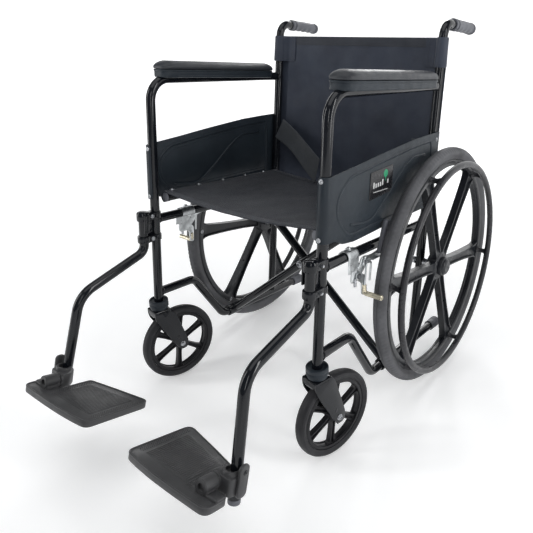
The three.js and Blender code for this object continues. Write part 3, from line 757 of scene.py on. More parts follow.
def wheel_spoke(angle, inner, outer, half_in, half_mid, half_out, depth, web):
    """An I-section spoke, waisted in the middle and flared into the rim and hub."""
    loops = []
    count = 18
    for k in range(count + 1):
        t = k / count
        r = inner + (outer - inner) * t
        w = half_in + (half_mid - half_in) * min(1, t / 0.28) ** 0.6
        if t > 0.28:
            w = half_mid + (half_out - half_mid) * ((t - 0.28) / 0.72) ** 2.2
        if t > 0.93:
            w += (t - 0.93) / 0.07 * 7
        wall = 3.2
        floor = web if 0.1 < t < 0.95 else depth - 0.3
        section = [
            (-w, -depth), (-w + wall, -depth), (-w + wall + 1.2, -floor), (w - wall - 1.2, -floor),
            (w - wall, -depth), (w, -depth),
            (w, depth), (w - wall, depth), (w - wall - 1.2, floor), (-w + wall + 1.2, floor),
            (-w + wall, depth), (-w, depth),
        ]
        loops.append(
            [
                (
                    x, r * math.cos(angle) - s * math.sin(angle),
                    r * math.sin(angle) + s * math.cos(angle)
                )
                for s, x in section
            ]
        )
    return loft(loops)


def big_wheel():
    rim = [
        (273.4, -9), (271, -11), (262, -11), (258.5, -9), (258, -5), (260.5, -3), (260.5, 3), (258, 5),
        (258.5, 9), (262, 11), (271, 11), (273.4, 9),
    ]
    parts = [turned(rim, 144, ring=True)]
    for k in range(6):
        parts.append(wheel_spoke(SPOKE_PHASE + k * math.pi / 3, 20, 262, 15, 12, 19, 9, 2.5))
    hub_profile = [
        (0, 21), (10, 21), (11, 22.6), (20, 22.6), (23.5, 21), (25, 17), (25, 12.5), (31, 11.5),
        (34, 9), (34, -14), (31, -16), (14, -16), (12.5, -15), (0, -15),
    ]
    parts.append(turned(hub_profile, 64))
    for k in range(6):
        t = SPOKE_PHASE + (k + 0.5) * math.pi / 3
        parts.append(
            moved(
                turned([(0, 12.6), (2.6, 12.6), (3, 12), (3, 8)], 16),
                at(0, 28 * math.cos(t), 28 * math.sin(t))
            )
        )
    return merged(*parts)


def push_rim():
    """Moulded hoop, flattened a little on its outer face, with its stand-offs."""
    radius, x = 265, HANDRIM_X - WHEEL_X
    section = []
    for t in turns(18):
        flat = 0.93 if math.sin(t) > 0 else 1
        section.append((radius + 8.4 * math.cos(t), x + 8.1 * math.sin(t) * flat))
    parts = [turned(section, 144, ring=True)]
    for k in range(6):
        t = SPOKE_PHASE + k * math.pi / 3
        y, z = radius * math.cos(t), radius * math.sin(t)
        stem = turned(
            [(0, 11.3), (10.5, 11.3), (8, 14), (6.4, 18), (6, 24), (6.6, 29), (8.5, 34), (0, 36)], 20
        )
        parts.append(moved(stem, at(0, y, z)))
    return merged(*parts)


for side, place in SIDES:
    wheel_place = place @ at(WHEEL_X, AXLE.y, AXLE.z)
    body = side + "_rear_wheel"
    tyre = tyre_shape(302.9, 16, 274, 1.7, 640)
    fitted(side, "rear_tyre_tread", tyre, TYRE, body, wheel_place, "tyre_rubber", "rear_tyre", angle=40)
    fitted(side, "mag_wheel", big_wheel(), WHEEL, body, wheel_place, "wheel_plastic", "rear_wheel")
    fitted(side, "push_rim", push_rim(), RIM, body, wheel_place, "handrim_plastic", "handrim")
    screws = []
    for k in range(6):
        t = SPOKE_PHASE + k * math.pi / 3
        screws.append(bolt((-10.5, 265 * math.cos(t), 265 * math.sin(t)), (-1, 0, 0), 4, 2.6, 5.5))
    fitted(side, "push_rim_screws", merged(*screws), STEEL, body, wheel_place, "zinc_steel")
    cap = [(0, 28.6), (4, 28.4), (9, 27), (9.6, 25), (9.6, 22.9), (0, 22.9)]
    dome = [
        (0, 30.6), (3, 30.4), (4, 29.6), (11, 29.2), (12.4, 29.8), (14, 29.6), (18, 27.6), (20.4, 24.6),
        (20.8, 22.7), (0, 22.7)
    ]
    fitted(side, "hub_cap", turned(dome, 48), WHEEL, body, wheel_place, "wheel_plastic")
    head = [
        (0, -66), (9, -66), (10, -65), (10, -59.4), (6, -59.4), (6, -36.6), (11, -36.6), (11, -16.4),
        (6, -16.4), (6, -14), (0, -14)
    ]
    axle = merged(turned(cap, 32), turned(head, 32))
    fitted(side, "wheel_axle", axle, STEEL, f"{side}_frame", wheel_place, "zinc_steel", "rear_axle")


# ---------------------------------------------------------------- casters

TOE = Matrix.Rotation(-math.radians(12), 4, "Z")


def caster_fork_shape(foot):
    """Pressed fork: a crown as wide as its cap, and two broad legs that taper down to the axle."""
    crown = 2 * CASTER_R + 5
    leg = [
        (-23, crown + 9, 3), (-24, crown - 12, 14), (CASTER_TRAIL - 12, CASTER_R - 8, 12),
        (CASTER_TRAIL - 2, CASTER_R - 17, 8), (CASTER_TRAIL + 14, CASTER_R - 14, 8),
        (CASTER_TRAIL + 18, CASTER_R + 6, 10),
        (32, crown - 6, 14), (22, crown + 9, 3),
    ]
    parts = [plate(leg, *sorted((s * 18, s * 22.4)), edge=1.3) for s in (-1, 1)]
    parts.append(
        plate(
            [(-22.4, -22, 10), (22.4, -22, 10), (22.4, 22, 10), (-22.4, 22, 10)], crown, crown + 8.8,
            "z", 2.4
        )
    )
    apron = [
        (-19, crown + 7, 2), (-19, crown - 3, 4), (-12, crown - 8, 6), (12, crown - 8, 6),
        (19, crown - 3, 4), (19, crown + 7, 2)
    ]
    front = plate(apron, -2, 2, edge=1)
    parts.append(
        moved(front, Matrix.Translation((0, -21, 0)) @ Matrix.Rotation(math.radians(90), 4, "Z"))
    )
    parts.append(
        moved(
            turned([(0, 0), (6, 0), (6, foot - 6 - crown), (0, foot - 6 - crown)], 24),
            aimed((0, 0, crown), (0, 0, 1))
        )
    )
    return merged(*parts)


def caster_rim():
    rim = [
        (83.5, -8), (80, -10), (75, -10), (74, -7), (76, -4), (76, 4), (74, 7), (75, 10), (80, 10),
        (83.5, 8)
    ]
    parts = [turned(rim, 96, ring=True)]
    for k in range(6):
        parts.append(wheel_spoke(0.4 + k * math.pi / 3, 12, 77, 7, 5.4, 8.5, 6, 1.8))
    parts.append(
        turned([(5.4, 15), (12, 15), (14, 13), (17, 9), (17, -9), (14, -13), (12, -15), (5.4, -15)], 40)
    )
    return merged(*parts)


for side, place in SIDES:
    foot = middle("caster_bushing_" + side)
    stand = Matrix.Translation((foot.x, foot.y, 0)) @ MM @ TOE
    foot_height = 231.4
    fitted(
        side, "fork", caster_fork_shape(foot_height), PAINT, f"{side}_caster_fork", stand,
        "frame_paint", "caster_fork"
    )
    wheel_place = stand @ at(0, CASTER_TRAIL, CASTER_R)
    ends = [bolt((s * 22.6, 0, 0), (s, 0, 0), 5.4, 4.2, 7) for s in (-1, 1)]
    fitted(side, "fork_bolts", merged(*ends), STEEL, f"{side}_caster_fork", wheel_place, "zinc_steel")
    marks = [
        plate(
            [(-14, 20, 2), (-9, 18, 2), (-5, 27, 2), (-10, 29, 2)], *sorted((s * 22, s * 22.7)),
            edge=0.2
        )
        for s in (-1, 1)
    ]
    fitted(side, "fork_slots", merged(*marks), BADGE, f"{side}_caster_fork", wheel_place, "frame_paint")
    body = side + "_caster_wheel"
    section = [
        (84, 9), (88, 11.5), (93, 13), (97, 11.4), (99.4, 8), (100.4, 3.4), (100.4, 0.4), (99.8, 0)
    ]
    tread = section + [(r, -x) for r, x in reversed(section[:-1])]
    fitted(
        side, "caster_tread", turned(tread, 128, ring=True), CASTER_TYRE, body, wheel_place,
        "tyre_rubber", "caster_tyre"
    )
    fitted(side, "caster_rim", caster_rim(), CASTER, body, wheel_place, "wheel_plastic", "caster_wheel")
    crown = 2 * CASTER_R + 14.4
    bell = [
        (7, crown + 1), (21.5, crown + 1), (22, crown + 6), (23.8, crown + 7.5), (24, crown + 14),
        (23.2, crown + 15.5), (23.8, crown + 17),
        (24, crown + 23), (22.8, crown + 25), (20.5, crown + 25.4), (18.5, crown + 22),
        (12.4, crown + 21), (7, crown + 21),
    ]
    housing = moved(turned(bell, 56, ring=True), aimed((0, 0, 0), (0, 0, 1)))
    fitted(
        side, "stem_housing", housing, PANEL, f"{side}_frame", stand, "black_plastic", "caster_bushing"
    )


# ---------------------------------------------------------------- cross brace and seat rails

SEAT_RAIL = (226, 466)
BRACE_Y = {"front": 270, "rear": 294}
SLOPE = (SEAT_RAIL[1] - RAIL_Z) / (FRAME_X + SEAT_RAIL[0])
CENTRE_Z = RAIL_Z + FRAME_X * SLOPE

for which, sign in (("rear", 1), ("front", -1)):
    body = f"brace_{which}_body"
    y = BRACE_Y[which]
    foot, head = Vector((sign * FRAME_X, y, RAIL_Z)), Vector((-sign * SEAT_RAIL[0], y, SEAT_RAIL[1]))
    along = (head - foot).normalized()
    arm = tube([foot + along * 12.5, head - along * 8], TUBE_R)
    sleeve = moved(
        turned(
            [(11.9, -24), (13.6, -24), (15, -22.5), (15, 22.5), (13.6, 24), (11.9, 24)], 44, ring=True
        ),
        aimed(foot, (0, 1, 0))
    )
    beads = [weld(foot + along * 15, along), weld(head - along * 11.5, -along)]
    piece(
        f"brace_arm_{which}", merged(arm, sleeve, *beads), PAINT, body, FRAME.copy(),
        [f"brace_{which}"], "frame_paint"
    )
    x = -sign * SEAT_RAIL[0]
    rail = tube([(x, 13.5, SEAT_RAIL[1]), (x, 425, SEAT_RAIL[1])], TUBE_R)
    other = "right" if sign > 0 else "left"
    piece(f"seat_tube_{other}", rail, PAINT, body, FRAME.copy(), [f"seat_rail_{other}"], "frame_paint")
    plugs = []
    for end, way in ((13.4, -1), (425.2, 1)):
        plugs.append(
            moved(
                turned([(0, 1.5), (7.5, 1.4), (10.2, 0.9), (10.9, 0), (9, -4), (0, -4)], 32),
                aimed((x, end, SEAT_RAIL[1]), (0, way, 0))
            )
        )
    piece(f"seat_tube_plugs_{other}", merged(*plugs), GRIP, body, FRAME.copy(), slot="grip_rubber")
    screws = [
        bolt((x, yy, SEAT_RAIL[1] + 15.6), (0, 0, 1), 4, 2.2, 6.5)
        for yy in (34, 120, 206, 292, 368)
    ]
    piece(f"seat_screws_{other}", merged(*screws), STEEL, body, FRAME.copy(), slot="zinc_steel")

pivot = merged(
    bolt((0, BRACE_Y["front"] - TUBE_R - 0.6, CENTRE_Z), (0, -1, 0), 7.5, 5, 9.4),
    hex_nut((0, BRACE_Y["rear"] + TUBE_R + 0.8, CENTRE_Z), (0, 1, 0), 7, 5),
    tube([(0, BRACE_Y["front"] - 12, CENTRE_Z), (0, BRACE_Y["rear"] + 12, CENTRE_Z)], 4, 20, 0.4),
)
piece("pivot_bolt", pivot, STEEL, "brace_rear_body", FRAME.copy(), ["brace_bolt"], "zinc_steel")


# ---------------------------------------------------------------- seat, back and belt


def cloth_sheet(rows, thickness):
    """A closed sheet from a grid of (point, outward) pairs."""
    shape = bmesh.new()
    fronts = [[shape.verts.new(p + n * thickness / 2) for p, n in row] for row in rows]
    backs = [[shape.verts.new(p - n * thickness / 2) for p, n in row] for row in rows]
    count = len(rows[0])
    for grid in (fronts, backs):
        for a, b in zip(grid, grid[1:]):
            for i in range(count - 1):
                shape.faces.new((a[i], b[i], b[i + 1], a[i + 1]))
    for f, b in ((fronts[0], backs[0]), (fronts[-1], backs[-1])):
        for i in range(count - 1):
            shape.faces.new((f[i], f[i + 1], b[i + 1], b[i]))
    for i in (0, count - 1):
        for fa, fb, ba, bb in zip(fronts, fronts[1:], backs, backs[1:]):
            shape.faces.new((fa[i], fb[i], bb[i], ba[i]))
    bmesh.ops.recalc_face_normals(shape, faces=shape.faces)
    return shape


def seat_line(y):
    """Section of the seat across the chair, wrapped round both rails and slung between them."""
    x, z = SEAT_RAIL
    wrap = TUBE_R + 1.6
    points = []
    for k in range(9):
        a = math.radians(-70 + 160 * k / 8)
        points.append((x + wrap * math.cos(a), z + wrap * math.sin(a), math.cos(a), math.sin(a)))
    edge = abs((y - 220) / 205)
    sag = 11 + 3 * edge
    count = 52
    half = []
    for k in range(1, count // 2 + 1):
        u = 1 - 2 * k / count
        dip = sag * (1 - u * u)
        px = x * u
        wrinkle = 0.9 * noise.noise(Vector((px * 0.035, y * 0.012, 3.1))) * min(1, (1 - abs(u)) * 6)
        half.append((px, z + wrap - dip + wrinkle, 0.0, 1.0))
    line = points + half
    mirror = [(-px, pz, -nx, nz) for px, pz, nx, nz in reversed(line[:-1])]
    return [(Vector((px, y, pz)), Vector((nx, 0, nz)).normalized()) for px, pz, nx, nz in line + mirror]


seat_rows = [seat_line(12 + 413 * k / 60) for k in range(61)]
seat = piece(
    "seat_sheet", cloth_sheet(seat_rows, 2.6), NYLON, None, FRAME.copy(),
    ["seat_sling_left", "seat_sling_right"], "seat_nylon", ride=False, angle=60
)
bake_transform(seat)


def seat_band(y0, y1, lift):
    """A doubled hem or a row of stitches that follows the seat's section."""
    rows = []
    for y in (y0, (y0 + y1) / 2, y1):
        rows.append([(p + n * lift, n) for p, n in seat_line(y)])
    return rows


hems = [cloth_sheet(seat_band(11.7, 31, 1.5), 1.2), cloth_sheet(seat_band(406, 424.8, 1.5), 1.2)]
hem = piece(
    "seat_hems", merged(*hems), HEM, None, FRAME.copy(), slot="seat_nylon", ride=False, angle=60
)
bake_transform(hem)


def stitches(points, normals, pitch=5.0, length=3.2, radius=0.35):
    """Short raised thread segments along a line."""
    shape = bmesh.new()
    travelled, parts = 0.0, []
    for (a, b), n in zip(zip(points, points[1:]), normals):
        run = (b - a).length
        along = (b - a).normalized()
        while travelled < run:
            start = a + along * travelled + n * radius * 0.6
            end = start + along * length
            parts.append((start, end, n))
            travelled += pitch
        travelled -= run
    for start, end, n in parts:
        along = (end - start).normalized()
        across = along.cross(n).normalized()
        loops = []
        for t, r in ((0, 0.3), (0.25, 1), (0.75, 1), (1, 0.3)):
            centre = start.lerp(end, t)
            ring = [centre + radius * r * (math.cos(a) * across + math.sin(a) * n) for a in turns(4)]
            loops.append([shape.verts.new(p) for p in ring])
        for a, b in zip(loops, loops[1:]):
            for i in range(4):
                shape.faces.new((a[i], a[(i + 1) % 4], b[(i + 1) % 4], b[i]))
        shape.faces.new(list(reversed(loops[0])))
        shape.faces.new(loops[-1])
    bmesh.ops.recalc_face_normals(shape, faces=shape.faces)
    return shape


seams = []
for y in (19, 30, 409, 421):
    line = seat_line(y)[8:-8]
    lift = 2.2
    seams.append(stitches([p + n * lift for p, n in line], [n for p, n in line]))
for x_seam in (-205, 205):
    points = []
    for k in range(40):
        y = 36 + 366 * k / 39
        near = min(seat_line(y)[9:-9], key=lambda pn: abs(pn[0].x - x_seam))
        points.append(near[0] + Vector((0, 0, 1.5)))
    seams.append(stitches(points, [Vector((0, 0, 1))] * 39))
seam = piece(
    "seat_stitching", merged(*seams), THREAD, None, FRAME.copy(), slot="seat_nylon", ride=False
)
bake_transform(seam)

BACK_Z = (456, 860)


def back_point(x, z):
    """The back panel behind the canes, slung a little to the rear between them."""
    u = max(-1, min(1, x / (FRAME_X - 4)))
    depth = 6 * (1 - u * u) * (0.7 + 0.3 * math.cos((z - 690) / 180))
    wrinkle = 1.1 * noise.noise(Vector((x * 0.012, 7.7, z * 0.02))) * min(1, (1 - abs(u)) * 5)
    return Vector((x, cane_y(z) + TUBE_R + 2.0 + depth + wrinkle, z))


def back_line(z):
    """Section of the back at one height, wrapped half round each cane."""
    wrap = TUBE_R + 2.0
    around = []
    for k in range(6):
        a = math.radians(15 + 75 * k / 5)
        out = Vector((math.cos(a), math.sin(a), 0))
        around.append((on_cane(z) + out * wrap, out))
    count = 50
    across = []
    for k in range(1, count):
        x = FRAME_X * (1 - 2 * k / count)
        across.append((back_point(x, z), Vector((0, 1, 0))))
    mirror = [(Vector((-p.x, p.y, p.z)), Vector((-n.x, n.y, 0))) for p, n in reversed(around)]
    return around + across + mirror


rows = [back_line(BACK_Z[0] + (BACK_Z[1] - BACK_Z[0]) * k / 56) for k in range(57)]
# The back and its cane sleeves use the back nylon, whose colour is lighter than the seat's by painted light.
back = piece(
    "back_sheet", cloth_sheet(rows, 2.4), BACK_NYLON_PAINTED_LIGHT, "left_frame", FRAME.copy(),
    ["back_upholstery_left", "back_upholstery_right"], "seat_nylon", angle=60
)


def follow_back(made):
    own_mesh(made)


follow_back(back)


def back_band(z0, z1, lift, steps=4):
    rows = []
    for k in range(steps + 1):
        z = z0 + (z1 - z0) * k / steps
        rows.append([(p + n * lift, n) for p, n in back_line(z)[5:-5]])
    return rows


def turned_hem():
    """The top hem: the cloth folds over its edge and is sewn down on both faces."""
    rows = []
    for lift, z in (
        (1.5, 838), (1.7, 848), (1.9, 857), (1.2, 861), (-1.2, 861), (-2.3, 857), (-2.0, 848),
        (-1.8, 838)
    ):
        rows.append(
            [
                (Vector((p.x, p.y + lift, z)), Vector((0, 1 if lift > 0 else -1, 0)))
                for p, n in back_line(min(z, 860))[6:-6]
            ]
        )
    shape = bmesh.new()
    grid = [[shape.verts.new(p) for p, n in row] for row in rows]
    for a, b in zip(grid, grid[1:] + grid[:1]):
        for i in range(len(a) - 1):
            shape.faces.new((a[i], b[i], b[i + 1], a[i + 1]))
    for i, flip in ((0, True), (-1, False)):
        ring = [row[i] for row in grid]
        shape.faces.new(list(reversed(ring)) if flip else ring)
    bmesh.ops.recalc_face_normals(shape, faces=shape.faces)
    return shape


back_hem = piece(
    "back_hem", merged(turned_hem(), cloth_sheet(back_band(457, 475, 1.5), 1.2)), HEM, "left_frame",
    FRAME.copy(), slot="seat_nylon", angle=60
)
follow_back(back_hem)
lines = []
for z, lift in ((841, 2.6), (472, 2.4), (460, 2.4)):
    line = back_line(z)[6:-6]
    lines.append(stitches([p + n * lift for p, n in line], [n for p, n in line]))
line = back_line(841)[6:-6]
lines.append(stitches([p - n * 3.0 for p, n in line], [-n for p, n in line]))
back_seam = piece(
    "back_stitching", merged(*lines), THREAD, "left_frame", FRAME.copy(), slot="seat_nylon"
)
follow_back(back_seam)


SLEEVE = (792, 861)


def sleeve_loop(z, grow=0.0, puff=0.0):
    """Section of the pocket over a cane's top: round the cane, then flat along the back panel."""
    centre = on_cane(z)
    r = 14.2 + grow + puff
    loop = [
        Vector((r * math.sin(a), -r * math.cos(a), 0))
        for a in [math.pi * k / 16 for k in range(17)]
    ]
    tail = 48 + grow
    for k in range(1, 9):
        loop.append(Vector((-tail * k / 8, 17.4 + grow, 0)))
    for k in range(9):
        t = k / 8
        loop.append(Vector((-tail + (tail - 13) * t, 11.2 - grow - puff * 0.5 - 10 * t**5, 0)))
    for a in (0.55, 0.35, 0.16):
        loop.append(Vector((-r * math.sin(math.pi * a), -r * math.cos(math.pi * a), 0)))
    return [centre + v for v in loop]


def cane_sleeve():
    loops = []
    count = 16
    for k in range(count + 1):
        z = SLEEVE[0] + (SLEEVE[1] - SLEEVE[0]) * k / count
        puff = 1.4 * (1 - k / count) ** 2
        loop = sleeve_loop(z, 0.0 if 0 < k < count else -0.7, puff)
        loops.append([p + Vector((0, 0, 0.35 * noise.noise(p * 0.05))) for p in loop])
    return loft(loops)


for side, place in SIDES:
    sleeve = fitted(
        side, "back_sleeve", cane_sleeve(), BACK_NYLON_PAINTED_LIGHT, f"{side}_frame", place, "seat_nylon", angle=60
    )
    line = sleeve_loop(SLEEVE[0] + 8, 0.4, 1.0)
    front = line[25:34]
    out = [Vector((0, -1, 0))] * len(front)
    edge = [sleeve_loop(z, 0.4, 0.3)[27] for z in range(SLEEVE[0] + 4, SLEEVE[1] - 4, 6)]
    seams = [stitches(front, out), stitches(edge, [Vector((0, -1, 0))] * len(edge))]
    fitted(side, "sleeve_stitching", merged(*seams), THREAD, f"{side}_frame", place, "seat_nylon")
    screws = [
        bolt(on_cane(z) + Vector((0, 15.2, 0)), (0, 1, 0), 4, 2.2, 6.5)
        for z in (484, 560, 640, 720)
    ]
    fitted(side, "back_screws", merged(*screws), STEEL, f"{side}_frame", place, "zinc_steel")


def along_spline(points, t):
    """A smooth line through the points, t counting them off."""
    line = [Vector(v) for v in points]
    line = [line[0] * 2 - line[1], *line, line[-1] * 2 - line[-2]]
    start = min(int(t), len(points) - 2)
    f = t - start
    p0, p1, p2, p3 = line[start : start + 4]
    square = 2 * p0 - 5 * p1 + 4 * p2 - p3
    cube = 3 * p1 - p0 - 3 * p2 + p3
    return 0.5 * (2 * p1 + (p2 - p0) * f + square * f * f + cube * f**3)


def webbing(points, width, thickness):
    """A flat strap with bound edges, following a smooth line."""
    smooth = [along_spline(points, k / 12) for k in range(12 * (len(points) - 1) + 1)]
    loops = []
    w, t = width / 2, thickness / 2
    under = [(-w, -t * 0.4), (-w + 1.2, -t), (w - 1.2, -t), (w, -t * 0.4)]
    half = [(w, t * 0.4), (w - 1.2, t), (w - 4, t * 1.25), (w - 6, t * 0.8)]
    section = under + half + [(-s, h) for s, h in reversed(half)]
    for p, ahead in zip(smooth, directions(smooth)):
        across = Vector((0, 0, 1)).cross(ahead).normalized()
        normal = ahead.cross(across)
        loops.append([p + across * s + normal * h for s, h in section])
    return loft(loops)


def ribbon(upper, lower, thickness):
    """A strap lying between two edge lines, its selvedges a little thicker than its middle."""
    loops = []
    count = 14 * (len(upper) - 1)
    for k in range(count + 1):
        t = k / 14
        a, b = along_spline(upper, t), along_spline(lower, t)
        ahead = along_spline(
            upper, min(t + 0.02, len(upper) - 1)
        ) - along_spline(upper, max(t - 0.02, 0))
        normal = (b - a).cross(ahead).normalized()
        across = [
            (0, 0.5), (0.03, 1), (0.09, 1), (0.13, 0.55), (0.5, 0.62), (0.87, 0.55), (0.91, 1),
            (0.97, 1), (1, 0.5)
        ]
        sag = 3.5 * math.sin(math.pi * k / count)
        face = [
            (a.lerp(b, u) + normal * (h * thickness / 2 - sag * math.sin(math.pi * u)))
            for u, h in across
        ]
        rear = [
            (a.lerp(b, u) - normal * (h * thickness / 2 + sag * math.sin(math.pi * u)))
            for u, h in reversed(across)
        ]
        loops.append(face + rear)
    return loft(loops)


SEAT_TOP = SEAT_RAIL[1] + TUBE_R + 2.9
right_upper = ((-218, 446, 628), (-160, 430, 602), (-100, 408, 571), (-40, 386, 540))
right_lower = ((-238, 434, 574), (-172, 424, 545), (-104, 402, 503), (-52, 384, 474))
left_strap = [
    Vector(v)
    for v in (
        (216, 440, 618), (213, 434, 580), (210, 425, 530), (204, 408, 498), (186, 386, SEAT_TOP + 4)
    )
]
belt_right = piece(
    "belt_strap_right", ribbon(right_upper, right_lower, 2.4), WEB, "right_frame", FRAME.copy(),
    ["lap_belt_right"], "belt_webbing"
)
belt_left = piece(
    "belt_strap_left", webbing(left_strap, 38, 2.2), WEB, "left_frame", FRAME.copy(), ["lap_belt_left"],
    "belt_webbing"
)
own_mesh(belt_right)
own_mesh(belt_left)


# ---------------------------------------------------------------- brakes

BRAKE_X = 268
LEVER = (132, 392)
SHOE_PIVOT = (106, 366)
SHOE = (AXLE.y - math.sqrt(317**2 - 17**2), 320)


def saddle(y0, y1, low, thickness=2.6):
    """Sheet-metal clip that hooks over the side rail and hangs down its outer face."""
    r = TUBE_R + 0.9
    line = [Vector((FRAME_X - r, 0, 404))]
    for k in range(13):
        a = math.pi - math.pi * k / 12
        line.append(Vector((FRAME_X + r * math.cos(a), 0, SIDE_RAIL_Z + r * math.sin(a))))
    line += [
        Vector((FRAME_X + r, 0, 400)), Vector((FRAME_X + r + 0.6, 0, 388)),
        Vector((BRAKE_X - 3.2, 0, low))
    ]
    outward = [Vector((-ahead.z, 0, ahead.x)) for ahead in directions(line)]
    loops = []
    count = 10
    for k in range(count + 1):
        t = k / count
        y = y0 + (y1 - y0) * t
        lip = 0.6 if k in (0, count) else 0
        trim = 16 * max(0, t - 0.55) ** 1.5 + 3 * (1 - t)
        inner, outer = [], []
        for p, n in zip(line, outward):
            z = max(p.z, low + trim) if p.x > FRAME_X else p.z
            base = Vector((p.x, y, z))
            inner.append(base + n * lip)
            outer.append(base + n * (thickness - lip))
        loops.append(inner + list(reversed(outer)))
    return loft(loops)


for side, place in SIDES:
    frame_body = side + "_frame"
    parts = [saddle(76, 116, 372)]
    bracket = [
        (86, 378, 3), (86, 352, 8), (112, 352, 8), (146, 382, 8), (146, 402, 8), (124, 402, 6),
        (112, 380, 6)
    ]
    parts.append(plate(bracket, BRAKE_X - 3.4, BRAKE_X - 0.4, edge=0.5))
    parts.append(bolt((250, 96, 424), (0, 0, 1), 4.4, 4, 6.4))
    fitted(side, "brake_base", merged(*parts), ZINC, frame_body, place, "zinc_steel", "brake_clamp")
    pins = [hex_nut((BRAKE_X + 4.6, y, z), (1, 0, 0), 4.4, 3) for y, z in (LEVER, SHOE_PIVOT)]
    tail = tube([(BRAKE_X + 1, 98, 362), (BRAKE_X + 1, 100, 343)], 3.4, 16, 1)
    fitted(side, "brake_pins", merged(*pins, tail), STEEL, frame_body, place, "zinc_steel")

    y, z = LEVER
    arm = [
        (y - 10, z - 8, 6), (y + 2, z - 12, 6), (y + 22, z - 4, 8), (y + 62, z + 4, 3),
        (y + 66, z + 14, 3), (y + 24, z + 9, 8), (y - 2, z + 12, 6)
    ]
    parts = [plate(arm, BRAKE_X + 0.4, BRAKE_X + 3.8, edge=0.5)]
    parts.append(block((BRAKE_X + 0.6, y + 18, z - 1), (BRAKE_X + 11, y + 58, z + 1.6), 0.8))
    fitted(
        side, "brake_arm", merged(*parts), ZINC, f"{side}_brake_lever", place, "zinc_steel",
        "brake_lever"
    )
    sleeve = [(y + 44, z + 6, 8), (y + 62, z + 3, 8), (y + 84, z + 76, 9), (y + 66, z + 81, 9)]
    fitted(
        side, "brake_handle", plate(sleeve, BRAKE_X + 0.6, BRAKE_X + 13.2, edge=4.5, steps=8), GRIP,
        f"{side}_brake_lever", place, "grip_rubber", angle=60
    )

    y, z = SHOE_PIVOT
    crank = [
        (y - 8, z + 5, 5), (y - 6, z - 8, 5), (y + 16, z - 20, 6), (SHOE[0] - 6, SHOE[1] - 4, 5),
        (SHOE[0] + 5, SHOE[1] - 4, 5), (y + 32, z - 8, 7), (y + 8, z + 7, 6)
    ]
    parts = [plate(crank, BRAKE_X + 0.4, BRAKE_X + 3.6, edge=0.5)]
    corners = ((24, -30), (27, 24), (46, 21), (44, -22))
    loop = bent([(BRAKE_X + 6, y + dy, z + dz) for dy, dz in corners], [6, 6], 15)
    parts.append(tube(loop, 2.3, 12, 0.8))
    fitted(
        side, "brake_crank", merged(*parts), ZINC, f"{side}_brake_shoe", place, "zinc_steel",
        "brake_shoe"
    )
    line = bent(
        [(BRAKE_X + 4, SHOE[0] - 2, SHOE[1] + 20), (BRAKE_X + 4, *SHOE), (WHEEL_X + 18.6, *SHOE)], [7],
        12
    )
    fitted(
        side, "brake_rod", tube(line, 5.8, 24, 1.4), YELLOW, f"{side}_brake_shoe", place, "zinc_steel"
    )


# ---------------------------------------------------------------- legrests

